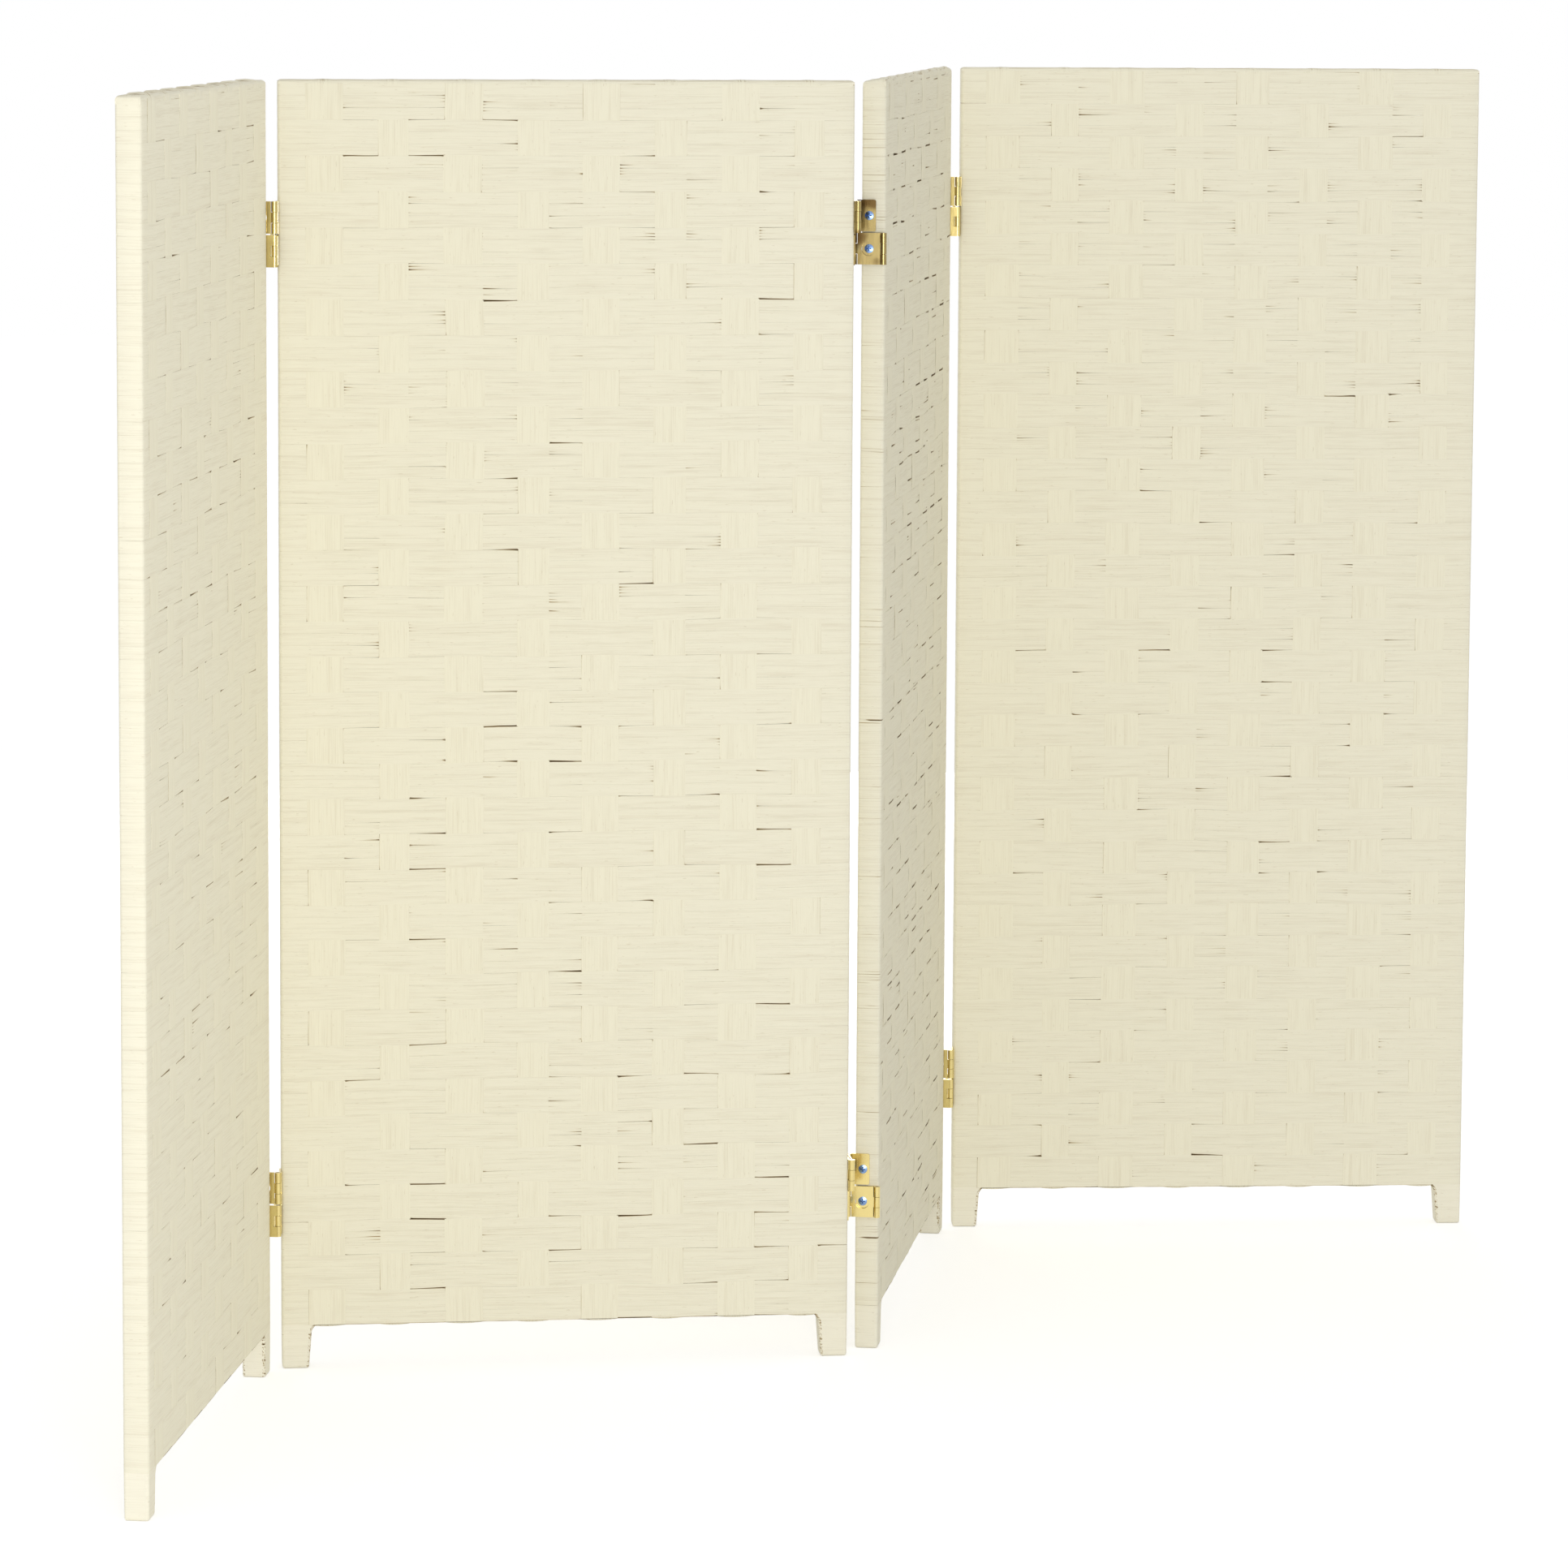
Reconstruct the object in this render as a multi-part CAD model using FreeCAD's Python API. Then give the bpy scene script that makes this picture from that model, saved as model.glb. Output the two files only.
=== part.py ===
import FreeCAD, Part
import math
import os
from collections import namedtuple

# A folding screen of four woven fibre panels that stands in a zigzag on its feet.
# Sizes are in millimetres and +Z is up. Panel 2 lies along +X and the front is -Y.
# The origin is on the floor, under the middle of the standing screen.

# Panel sizes
PANEL_WIDTH = 450.0
PANEL_HEIGHT = 1016.0
PANEL_THICKNESS = 19.0
FOOT_HEIGHT = 33.0

# Woven cover and foot wraps
COVER_THICKNESS = 1.5
COVER_CORNER_RADIUS = 2.0
FOOT_WRAP_THICKNESS = 1.5
FOOT_CORNER_RADIUS = 2.0

# Wooden frame inside the cover
STILE_WIDTH = 19.0
RAIL_HEIGHT = 19.0
DOWEL_DIAMETER = 6.0
DOWEL_LENGTH = 34.0
DOWEL_DEPTH_IN_STILE = 13.0
DOWEL_CLEARANCE = 0.05
DOWEL_END_GAP = 0.5

# Two-way hinges
HINGE_HEIGHT = 51.0
HINGE_HALF_GAP = 1.0
HINGE_BELOW_TOP = 119.5
HINGE_ABOVE_FLOOR = 133.5
BARREL_DIAMETER = 4.9
BARREL_CLEARANCE = 0.55
BARREL_SPACING = 23.5
BARREL_STANDOFF = 5.5
KNUCKLES = 3
KNUCKLE_GAP = 0.3
NOTCH_CLEARANCE = 0.4
PIN_DIAMETER = 2.6
PIN_CLEARANCE = 0.05
PIN_CHAMFER = 0.3
LEAF_THICKNESS = 1.5
LEAF_END_GAP = 4.0
LEAF_CORNER_RADIUS = 1.5
LINK_THICKNESS = 1.2
ACCESS_HOLE_DIAMETER = 11.5

# Hinge screws
SCREW_DIAMETER = 4.0
SCREW_LENGTH = 16.0
SCREW_TIP_LENGTH = 3.0
SCREW_HEAD_DIAMETER = 7.0
SCREW_DOME_HEIGHT = 0.5
SCREW_CLEARANCE = 0.05
SCREW_END_GAP = 0.5
RECESS_LENGTH = 4.0
RECESS_WIDTH = 0.9
RECESS_DEPTH = 0.9

# How far each fold is closed as the screen stands, from 0 flat to 180 shut
LEFT_FOLD_DEG = 77.0
MIDDLE_FOLD_DEG = 75.0
RIGHT_FOLD_DEG = 78.5

# Sizes that follow from those above
PANEL_GAP = BARREL_DIAMETER + 2 * BARREL_CLEARANCE
STILE_THICKNESS = PANEL_THICKNESS - 2 * COVER_THICKNESS
RAIL_LENGTH = PANEL_WIDTH - 2 * (COVER_THICKNESS + STILE_WIDTH)
BOTTOM_RAIL_Z = FOOT_HEIGHT + COVER_THICKNESS
TOP_RAIL_Z = PANEL_HEIGHT - COVER_THICKNESS - RAIL_HEIGHT
HALF_HEIGHT = (HINGE_HEIGHT - HINGE_HALF_GAP) / 2
KNUCKLE_HEIGHT = (HALF_HEIGHT - (KNUCKLES - 1) * KNUCKLE_GAP) / KNUCKLES
NOTCH_REACH = BARREL_DIAMETER / 2 + NOTCH_CLEARANCE
WORKING_AXIS = PANEL_THICKNESS / 2 + BARREL_STANDOFF
SPARE_AXIS = WORKING_AXIS - BARREL_SPACING
SCREW_ACROSS = (WORKING_AXIS + SPARE_AXIS) / 2
LEAF_LENGTH = BARREL_SPACING - BARREL_DIAMETER / 2 - LEAF_END_GAP
SCREW_REACH = SCREW_LENGTH - LEAF_THICKNESS
HINGE_HEIGHTS = (PANEL_HEIGHT - HINGE_BELOW_TOP, HINGE_ABOVE_FLOOR)

# How far an edge may stray sideways and still count as straight along a direction
STRAY_LIMIT = 0.01

# The two sides of a panel, by the sign of its own y
FRONT = -1
BACK = 1

PANELS = (1, 2, 3, 4)

# An upright edge of a panel that carries hinges: its place along the panel, the way it
# faces, and the side of the panel, front or back, where the working axis stands.
Edge = namedtuple("Edge", "x outward working_side")

# A fold between two neighbouring panels
Fold = namedtuple("Fold", "name left right working_side degrees")

FOLDS = (
    Fold("left", 1, 2, FRONT, LEFT_FOLD_DEG),
    Fold("middle", 2, 3, BACK, MIDDLE_FOLD_DEG),
    Fold("right", 3, 4, FRONT, RIGHT_FOLD_DEG),
)


def vector(x, y, z):
    """A point or direction."""
    return FreeCAD.Vector(x, y, z)


def box_between(corner, opposite):
    """A box between two opposite corners, given in either order."""
    low = [min(pair) for pair in zip(corner, opposite)]
    high = [max(pair) for pair in zip(corner, opposite)]
    return Part.makeBox(high[0] - low[0], high[1] - low[1], high[2] - low[2], vector(*low))


def edges_along(shape, direction):
    """The straight edges of a shape that run along a unit direction."""
    found = []
    for edge in shape.Edges:
        span = edge.Vertexes[-1].Point - edge.Vertexes[0].Point
        if span.Length > STRAY_LIMIT and span.cross(direction).Length < STRAY_LIMIT:
            found.append(edge)
    return found


def left_edge(fold):
    """The left edge of a fold's right panel."""
    return Edge(0.0, -1, fold.working_side)


def right_edge(fold):
    """The right edge of a fold's left panel."""
    return Edge(PANEL_WIDTH, 1, fold.working_side)


def panel_edges(number):
    """The hinged edges of one panel."""
    found = []
    for fold in FOLDS:
        if fold.right == number:
            found.append(left_edge(fold))
        if fold.left == number:
            found.append(right_edge(fold))
    return found


def edge_point(edge, out, across, up):
    """A point by its reach out from an edge, its place across it and its height."""
    return vector(edge.x + edge.outward * out, edge.working_side * across, up)


def edge_block(edge, out, across, up):
    """A box on an edge, from its spans out from the edge, across it and up."""
    corner = edge_point(edge, out[0], across[0], up[0])
    opposite = edge_point(edge, out[1], across[1], up[1])
    return box_between(corner, opposite)


def edge_barrel(edge, axis, up, radius):
    """An upright cylinder on a hinge axis, midway between two panels."""
    return Part.makeCylinder(radius, up[1] - up[0], edge_point(edge, PANEL_GAP / 2, axis, up[0]))


def edge_hole(edge, out, up, radius):
    """A cylinder square to an edge, on the line of the hinge screws."""
    inward = vector(-edge.outward, 0, 0)
    return Part.makeCylinder(radius, out[0] - out[1], edge_point(edge, out[0], SCREW_ACROSS, up), inward)


def half_bottoms(middle):
    """The lowest heights of a hinge's upper and lower halves."""
    upper = middle + HINGE_HALF_GAP / 2
    lower = middle - HINGE_HALF_GAP / 2 - HALF_HEIGHT
    return upper, lower


def screw_heights():
    """The heights of the screws along a hinged edge."""
    bottoms = [bottom for middle in HINGE_HEIGHTS for bottom in half_bottoms(middle)]
    return [bottom + HALF_HEIGHT / 2 for bottom in bottoms]


def knuckle_spans(bottom):
    """The low and high ends of a half hinge's knuckles, from the bottom up."""
    pitch = KNUCKLE_HEIGHT + KNUCKLE_GAP
    starts = [bottom + place * pitch for place in range(KNUCKLES)]
    return [(start, start + KNUCKLE_HEIGHT) for start in starts]


def stile_span(side_x):
    """The span along the panel of the left stile, at 0, or of the right stile."""
    if side_x == 0.0:
        return COVER_THICKNESS, COVER_THICKNESS + STILE_WIDTH
    return PANEL_WIDTH - COVER_THICKNESS - STILE_WIDTH, PANEL_WIDTH - COVER_THICKNESS


def dowel(side_x, up, radius, end_gap):
    """A dowel, or with an end gap its hole, across the joint of a stile and a rail."""
    start = COVER_THICKNESS + STILE_WIDTH - DOWEL_DEPTH_IN_STILE - end_gap
    length = DOWEL_LENGTH + 2 * end_gap
    if side_x == 0.0:
        return Part.makeCylinder(radius, length, vector(start, 0, up), vector(1, 0, 0))
    return Part.makeCylinder(radius, length, vector(PANEL_WIDTH - start, 0, up), vector(-1, 0, 0))


def dowel_heights():
    """The heights of the dowels, at the middle of each rail."""
    return [BOTTOM_RAIL_Z + RAIL_HEIGHT / 2, TOP_RAIL_Z + RAIL_HEIGHT / 2]


def dowel_holes():
    """The holes for all the dowels of a panel."""
    radius = DOWEL_DIAMETER / 2 + DOWEL_CLEARANCE
    return [dowel(x, up, radius, DOWEL_END_GAP) for x in (0.0, PANEL_WIDTH) for up in dowel_heights()]


def stile(number, side_x):
    """An upright of the frame, which runs on down to make a foot."""
    low, high = stile_span(side_x)
    half = STILE_THICKNESS / 2
    top = PANEL_HEIGHT - COVER_THICKNESS
    shape = box_between((low, -half, FOOT_WRAP_THICKNESS), (high, half, top))
    holes = dowel_holes()
    radius = SCREW_DIAMETER / 2 + SCREW_CLEARANCE
    out = (-COVER_THICKNESS, -SCREW_REACH - SCREW_END_GAP)
    for edge in panel_edges(number):
        if edge.x == side_x:
            holes += [edge_hole(edge, out, up, radius) for up in screw_heights()]
    return shape.cut(holes)


def rail(up):
    """A cross bar of the frame between the stiles."""
    low = COVER_THICKNESS + STILE_WIDTH
    half = STILE_THICKNESS / 2
    shape = box_between((low, -half, up), (low + RAIL_LENGTH, half, up + RAIL_HEIGHT))
    return shape.cut(dowel_holes())


def dowels():
    """The pegs that join the rails to the stiles."""
    return [dowel(x, up, DOWEL_DIAMETER / 2, 0.0) for x in (0.0, PANEL_WIDTH) for up in dowel_heights()]


def woven_cover(number):
    """The woven skin round the frame, open below where the stiles pass through it."""
    half = PANEL_THICKNESS / 2
    inner_half = STILE_THICKNESS / 2
    outside = box_between((0, -half, FOOT_HEIGHT), (PANEL_WIDTH, half, PANEL_HEIGHT))
    radius = min(COVER_CORNER_RADIUS, 2 * COVER_THICKNESS)
    outside = outside.makeFillet(radius, edges_along(outside, vector(0, 0, 1)))
    low = (COVER_THICKNESS, -inner_half, BOTTOM_RAIL_Z)
    high = (PANEL_WIDTH - COVER_THICKNESS, inner_half, PANEL_HEIGHT - COVER_THICKNESS)
    cuts = [box_between(low, high)]
    for side_x in (0.0, PANEL_WIDTH):
        start, end = stile_span(side_x)
        cuts.append(box_between((start, -inner_half, FOOT_HEIGHT), (end, inner_half, BOTTOM_RAIL_Z)))
    hole_radius = SCREW_DIAMETER / 2 + SCREW_CLEARANCE
    for edge in panel_edges(number):
        out = (0.0, -COVER_THICKNESS)
        cuts += [edge_hole(edge, out, up, hole_radius) for up in screw_heights()]
    return outside.cut(cuts)


def foot_wrap(side_x):
    """The fibre wrapped round and under the lower end of a stile."""
    low, high = stile_span(side_x)
    half = STILE_THICKNESS / 2
    wall = FOOT_WRAP_THICKNESS
    outside = box_between((low - wall, -half - wall, 0), (high + wall, half + wall, FOOT_HEIGHT))
    rounded = edges_along(outside, vector(0, 0, 1))
    rounded += [edge for edge in outside.Edges if edge.CenterOfMass.z < wall / 2]
    radius = min(FOOT_CORNER_RADIUS, 2 * wall)
    outside = outside.makeFillet(radius, rounded)
    return outside.cut(box_between((low, -half, wall), (high, half, FOOT_HEIGHT)))


def hinge_leaf(edge, axis, bottom):
    """A half hinge's leaf: a plate on the edge, with a knuckle at each end of its own axis."""
    inward = -1 if axis == WORKING_AXIS else 1
    end = axis + inward * LEAF_LENGTH
    top = bottom + HALF_HEIGHT
    spans = knuckle_spans(bottom)
    low = spans[0]
    high = spans[-1]
    plate = edge_block(edge, (0, LEAF_THICKNESS), (axis, end), (bottom, top))
    free_corners = []
    for corner in edges_along(plate, vector(1, 0, 0)):
        if abs(corner.CenterOfMass.y - edge.working_side * end) < LEAF_LENGTH / 2:
            free_corners.append(corner)
    leaf = plate.makeFillet(LEAF_CORNER_RADIUS, free_corners)
    across = (axis - inward * NOTCH_REACH, axis + inward * NOTCH_REACH)
    leaf = leaf.cut(edge_block(edge, (0, PANEL_GAP), across, (low[1], high[0])))
    leaf = leaf.fuse([edge_barrel(edge, axis, span, BARREL_DIAMETER / 2) for span in (low, high)])
    bore = edge_barrel(edge, axis, (bottom, top), PIN_DIAMETER / 2 + PIN_CLEARANCE)
    narrow = SCREW_DIAMETER / 2 + SCREW_CLEARANCE
    wide = SCREW_HEAD_DIAMETER / 2 + SCREW_CLEARANCE
    seat_base = edge_point(edge, 0, SCREW_ACROSS, bottom + HALF_HEIGHT / 2)
    seat = Part.makeCone(narrow, wide, LEAF_THICKNESS, seat_base, vector(edge.outward, 0, 0))
    return leaf.cut([bore, seat]).removeSplitter()


def hinge_link(edge, bottom):
    """The plate between a half hinge's two axes, with a knuckle on each and a hole for the driver."""
    top = bottom + HALF_HEIGHT
    spans = knuckle_spans(bottom)
    middle = (spans[0][1] + KNUCKLE_GAP, spans[-1][0] - KNUCKLE_GAP)
    out = (PANEL_GAP / 2 - LINK_THICKNESS / 2, PANEL_GAP / 2 + LINK_THICKNESS / 2)
    link = edge_block(edge, out, (SPARE_AXIS, WORKING_AXIS), (bottom, top))
    cuts = [edge_hole(edge, (PANEL_GAP, 0), bottom + HALF_HEIGHT / 2, ACCESS_HOLE_DIAMETER / 2)]
    barrels = []
    bores = []
    for axis in (SPARE_AXIS, WORKING_AXIS):
        across = (axis - NOTCH_REACH, axis + NOTCH_REACH)
        cuts.append(edge_block(edge, (0, PANEL_GAP), across, (bottom, middle[0])))
        cuts.append(edge_block(edge, (0, PANEL_GAP), across, (middle[1], top)))
        barrels.append(edge_barrel(edge, axis, middle, BARREL_DIAMETER / 2))
        bores.append(edge_barrel(edge, axis, middle, PIN_DIAMETER / 2 + PIN_CLEARANCE))
    return link.cut(cuts).fuse(barrels).cut(bores).removeSplitter()


def hinge_pin(edge, axis, bottom):
    """The pin through a half hinge's knuckles."""
    pin = edge_barrel(edge, axis, (bottom, bottom + HALF_HEIGHT), PIN_DIAMETER / 2)
    rims = [item for item in pin.Edges if item.Closed]
    return pin.makeChamfer(PIN_CHAMFER, rims)


def hinge_screw(edge, up):
    """A wood screw with a raised countersunk head and a cross recess."""
    shank = SCREW_DIAMETER / 2
    head = SCREW_HEAD_DIAMETER / 2
    crown = LEAF_THICKNESS + SCREW_DOME_HEIGHT
    sphere = (head ** 2 + SCREW_DOME_HEIGHT ** 2) / (2 * SCREW_DOME_HEIGHT)
    half_angle = math.asin(head / sphere) / 2
    tip = vector(0, 0, -SCREW_REACH)
    taper = vector(shank, 0, SCREW_TIP_LENGTH - SCREW_REACH)
    neck = vector(shank, 0, 0)
    rim = vector(head, 0, LEAF_THICKNESS)
    on_dome = vector(sphere * math.sin(half_angle), 0, crown - sphere * (1 - math.cos(half_angle)))
    top = vector(0, 0, crown)
    outline = [Part.makeLine(tip, taper), Part.makeLine(taper, neck), Part.makeLine(neck, rim)]
    outline.append(Part.Arc(rim, on_dome, top).toShape())
    outline.append(Part.makeLine(top, tip))
    screw = Part.Face(Part.Wire(outline)).revolve(vector(0, 0, 0), vector(0, 0, 1))
    long = RECESS_LENGTH / 2
    wide = RECESS_WIDTH / 2
    floor = crown - RECESS_DEPTH
    slots = [box_between((-long, -wide, floor), (long, wide, crown))]
    slots.append(box_between((-wide, -long, floor), (wide, long, crown)))
    screw = screw.cut(slots)
    turn = FreeCAD.Rotation(vector(0, 0, 1), vector(edge.outward, 0, 0))
    screw.Placement = FreeCAD.Placement(edge_point(edge, 0, SCREW_ACROSS, up), turn)
    return screw


def fold_step(fold):
    """The place of a fold's right panel in the frame of its left panel."""
    side = fold.working_side * WORKING_AXIS
    axis_on_left = vector(PANEL_WIDTH + PANEL_GAP / 2, side, 0)
    axis_on_right = vector(-PANEL_GAP / 2, side, 0)
    turn = FreeCAD.Rotation(vector(0, 0, 1), fold.working_side * fold.degrees)
    return FreeCAD.Placement(axis_on_left - turn.multVec(axis_on_right), turn)


def panel_places():
    """Where each panel stands, with panel 2 along +X from the corner of its left edge."""
    left, middle, right = FOLDS
    places = {middle.left: FreeCAD.Placement()}
    places[left.left] = fold_step(left).inverse()
    places[middle.right] = fold_step(middle)
    places[right.right] = places[middle.right].multiply(fold_step(right))
    return places


def panel_pieces(number):
    """The pieces of one panel apart from its hinges, by name."""
    screws = [hinge_screw(edge, up) for edge in panel_edges(number) for up in screw_heights()]
    return {
        "left_stile": [stile(number, 0.0)],
        "right_stile": [stile(number, PANEL_WIDTH)],
        "top_rail": [rail(TOP_RAIL_Z)],
        "bottom_rail": [rail(BOTTOM_RAIL_Z)],
        "dowels": dowels(),
        "woven_cover": [woven_cover(number)],
        "left_foot_wrap": [foot_wrap(0.0)],
        "right_foot_wrap": [foot_wrap(PANEL_WIDTH)],
        "hinge_screws": screws,
    }


def hinge_pieces_on_left(edge):
    """The pieces of a fold's hinges that stay on its left panel, by name."""
    pieces = {"hinge_leaves": [], "hinge_links": [], "hinge_pins": []}
    for middle in HINGE_HEIGHTS:
        upper, lower = half_bottoms(middle)
        pieces["hinge_leaves"].append(hinge_leaf(edge, SPARE_AXIS, upper))
        pieces["hinge_leaves"].append(hinge_leaf(edge, WORKING_AXIS, lower))
        pieces["hinge_links"].append(hinge_link(edge, upper))
        for axis, bottom in ((SPARE_AXIS, upper), (WORKING_AXIS, upper), (WORKING_AXIS, lower)):
            pieces["hinge_pins"].append(hinge_pin(edge, axis, bottom))
    return pieces


def hinge_pieces_on_right(edge):
    """The pieces of a fold's hinges that stay on its right panel, by name."""
    pieces = {"hinge_leaves": [], "hinge_links": [], "hinge_pins": []}
    for middle in HINGE_HEIGHTS:
        upper, lower = half_bottoms(middle)
        pieces["hinge_leaves"].append(hinge_leaf(edge, WORKING_AXIS, upper))
        pieces["hinge_leaves"].append(hinge_leaf(edge, SPARE_AXIS, lower))
        pieces["hinge_links"].append(hinge_link(edge, lower))
        pieces["hinge_pins"].append(hinge_pin(edge, SPARE_AXIS, lower))
    return pieces


def nodes_in_panel_frames():
    """Every node's solids in its own panel's frame, with the panel's number."""
    nodes = {}
    for number in PANELS:
        for name, solids in panel_pieces(number).items():
            nodes[f"panel_{number}_{name}"] = (number, solids)
    for fold in FOLDS:
        on_left = hinge_pieces_on_left(right_edge(fold))
        on_right = hinge_pieces_on_right(left_edge(fold))
        for name, solids in on_left.items():
            nodes[f"{fold.name}_{name}_panel_{fold.left}"] = (fold.left, solids)
        for name, solids in on_right.items():
            nodes[f"{fold.name}_{name}_panel_{fold.right}"] = (fold.right, solids)
    return nodes


def placed(number, solids, places):
    """A node's solids moved to where their panel stands."""
    moved = []
    for solid in solids:
        copy = solid.copy()
        copy.Placement = places[number].multiply(copy.Placement)
        moved.append(copy)
    return Part.makeCompound(moved)


def centring(nodes, places):
    """The move that puts the origin under the middle of the standing screen."""
    total = FreeCAD.BoundBox()
    for name, (number, solids) in nodes.items():
        if name.endswith(("woven_cover", "foot_wrap")):
            total.add(placed(number, solids, places).optimalBoundingBox(False, False))
    return FreeCAD.Placement(vector(-total.Center.x, -total.Center.y, 0), FreeCAD.Rotation())


def standing_places(nodes):
    """Where each panel stands once the screen is centred on the origin."""
    places = panel_places()
    move = centring(nodes, places)
    return {number: move.multiply(place) for number, place in places.items()}


def fold_axes(places):
    """A point on the floor under each fold's working axis."""
    axes = {}
    for fold in FOLDS:
        on_left = vector(PANEL_WIDTH + PANEL_GAP / 2, fold.working_side * WORKING_AXIS, 0)
        axes[fold.name] = places[fold.left].multVec(on_left)
    return axes


def main():
    """Build every node and write it to its own file."""
    os.makedirs("parts", exist_ok=True)
    nodes = nodes_in_panel_frames()
    places = standing_places(nodes)
    for name, (number, solids) in nodes.items():
        shape = placed(number, solids, places)
        shape.exportStep(f"parts/{name}.step")
        print(name, len(shape.Solids), round(shape.Volume, 1), shape.isValid())
    for name, point in fold_axes(places).items():
        print(name, "fold axis", round(point.x, 4), round(point.y, 4))


main()
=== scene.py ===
"""Dresses a four-panel folding screen: woven fibre covers, wrapped feet, brass hinges and a plain studio.

Sizes are in millimetres, and PanelPlace turns them into metres in the shared frame.
A panel's own axes run along x from its left edge to its right edge, along y from front to back, and up z.
A warp is an upright strap of the weave, and a weft is a level band that passes over and under the warps.
A mark is a value that a mesh carries for its finish. A tuck mark of 0 is clean paint, and 1 is bare brown;
some tuck marks are painted shade: on the rims, on the top strip and where strands pass under others.
"""

import logging
import math
from collections.abc import Callable, Iterable
from dataclasses import dataclass, field, replace
from enum import Enum

import bpy
import numpy as np
from mathutils import Matrix, Vector


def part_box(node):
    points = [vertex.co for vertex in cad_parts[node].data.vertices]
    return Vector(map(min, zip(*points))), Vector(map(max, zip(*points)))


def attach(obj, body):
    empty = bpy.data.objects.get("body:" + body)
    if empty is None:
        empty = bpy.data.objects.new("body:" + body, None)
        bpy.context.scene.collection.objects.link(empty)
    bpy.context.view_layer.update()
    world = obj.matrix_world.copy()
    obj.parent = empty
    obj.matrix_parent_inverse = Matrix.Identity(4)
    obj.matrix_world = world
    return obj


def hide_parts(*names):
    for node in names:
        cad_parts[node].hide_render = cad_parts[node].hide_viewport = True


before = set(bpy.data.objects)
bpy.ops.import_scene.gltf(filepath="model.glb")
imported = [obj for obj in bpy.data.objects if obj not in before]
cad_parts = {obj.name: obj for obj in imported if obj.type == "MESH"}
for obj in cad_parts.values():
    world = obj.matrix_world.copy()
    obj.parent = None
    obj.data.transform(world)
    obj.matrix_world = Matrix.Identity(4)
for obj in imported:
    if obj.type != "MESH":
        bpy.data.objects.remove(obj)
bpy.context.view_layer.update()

MM = 0.001
SOFT_EDGE = math.radians(50.0)

# The sine of 45 degrees, for points halfway round a corner
DIAGONAL = math.sqrt(0.5)

# Stations that lie on a warp are in no gap between warps
NO_COLUMN = -1

# A face looks up or down where its normal's share of that way is more than this
FACING = 0.5

# Parts of a millimetre that set places apart, or tell that they are the same
EDGE_HAIR = 0.05
SAME_PLACE = 0.01

Colour = tuple[float, float, float]
Place = tuple[float, float, float]
Pair = tuple[float, float]

log = logging.getLogger("folding_screen")


class Face(Enum):
    """The two broad faces of a panel, by the sign of y."""

    FRONT = -1
    BACK = 1


class Side(Enum):
    """The two upright edges of a panel, by the sign of x."""

    LEFT = -1
    RIGHT = 1


class Rim(Enum):
    """The two level edges of a panel, by the sign of z."""

    BOTTOM = -1
    TOP = 1


class Axis(Enum):
    """The axes, by their place in a point."""

    X = 0
    Y = 1
    Z = 2


class Mark(Enum):
    """Values that a fibre mesh carries for its finish."""

    TUCK_AND_SHADE = "tuck_and_shade"
    SHADE = "shade"
    TONE = "tone"


def from_screen(red: int, green: int, blue: int) -> Colour:
    """Turns a screen colour of 0 to 255 into the linear values that shaders use.

    Args:
        red: The red share.
        green: The green share.
        blue: The blue share.

    Returns:
        The linear colour.
    """

    def linear(value: int) -> float:
        """Turns one share into its linear value, by the usual curve of screens."""
        share = value / 255.0
        return share / 12.92 if share <= 0.04045 else ((share + 0.055) / 1.055) ** 2.4

    return linear(red), linear(green), linear(blue)


# Mesh helpers


def deselect_all() -> None:
    """Leaves object mode with nothing selected, so that an operator acts only on what comes next."""
    if bpy.context.object is not None and bpy.context.object.mode != "OBJECT":
        bpy.ops.object.mode_set(mode="OBJECT")
    bpy.ops.object.select_all(action="DESELECT")


def make_active(piece: bpy.types.Object) -> None:
    """Leaves edit mode, selects one piece alone and makes it the active one.

    Args:
        piece: The piece.
    """
    deselect_all()
    piece.select_set(True)
    bpy.context.view_layer.objects.active = piece


def vertex_places(piece: bpy.types.Object) -> np.ndarray:
    """Gives a mesh's vertex places.

    Args:
        piece: The piece.

    Returns:
        An array with a row for each vertex.
    """
    places = np.empty(len(piece.data.vertices) * 3, dtype=np.float32)
    piece.data.vertices.foreach_get("co", places)
    return places.reshape(-1, 3).astype(float)


def set_vertex_places(piece: bpy.types.Object, places: np.ndarray) -> None:
    """Writes a mesh's vertex places from an array with a row for each vertex."""
    piece.data.vertices.foreach_set("co", places.astype(np.float32).ravel())
    piece.data.update()


def corner_vertices(mesh: bpy.types.Mesh) -> np.ndarray:
    """Gives the number of the vertex at each corner of a mesh's faces.

    Args:
        mesh: The mesh.

    Returns:
        The numbers in one row, face by face.
    """
    corners = np.empty(len(mesh.loops), dtype=np.int32)
    mesh.loops.foreach_get("vertex_index", corners)
    return corners


def set_lay(mesh: bpy.types.Mesh, lay: np.ndarray) -> None:
    """Writes where each corner of a mesh's faces lies on the strand pattern."""
    layer = mesh.uv_layers.active or mesh.uv_layers.new(name="UVMap")
    layer.data.foreach_set("uv", lay.astype(np.float32).ravel())


def set_mark(mesh: bpy.types.Mesh, mark: Mark, values: np.ndarray) -> None:
    """Writes one value for each vertex of a mesh."""
    attribute = mesh.attributes.get(mark.value) or mesh.attributes.new(mark.value, "FLOAT", "POINT")
    attribute.data.foreach_set("value", values.astype(np.float32).ravel())


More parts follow.
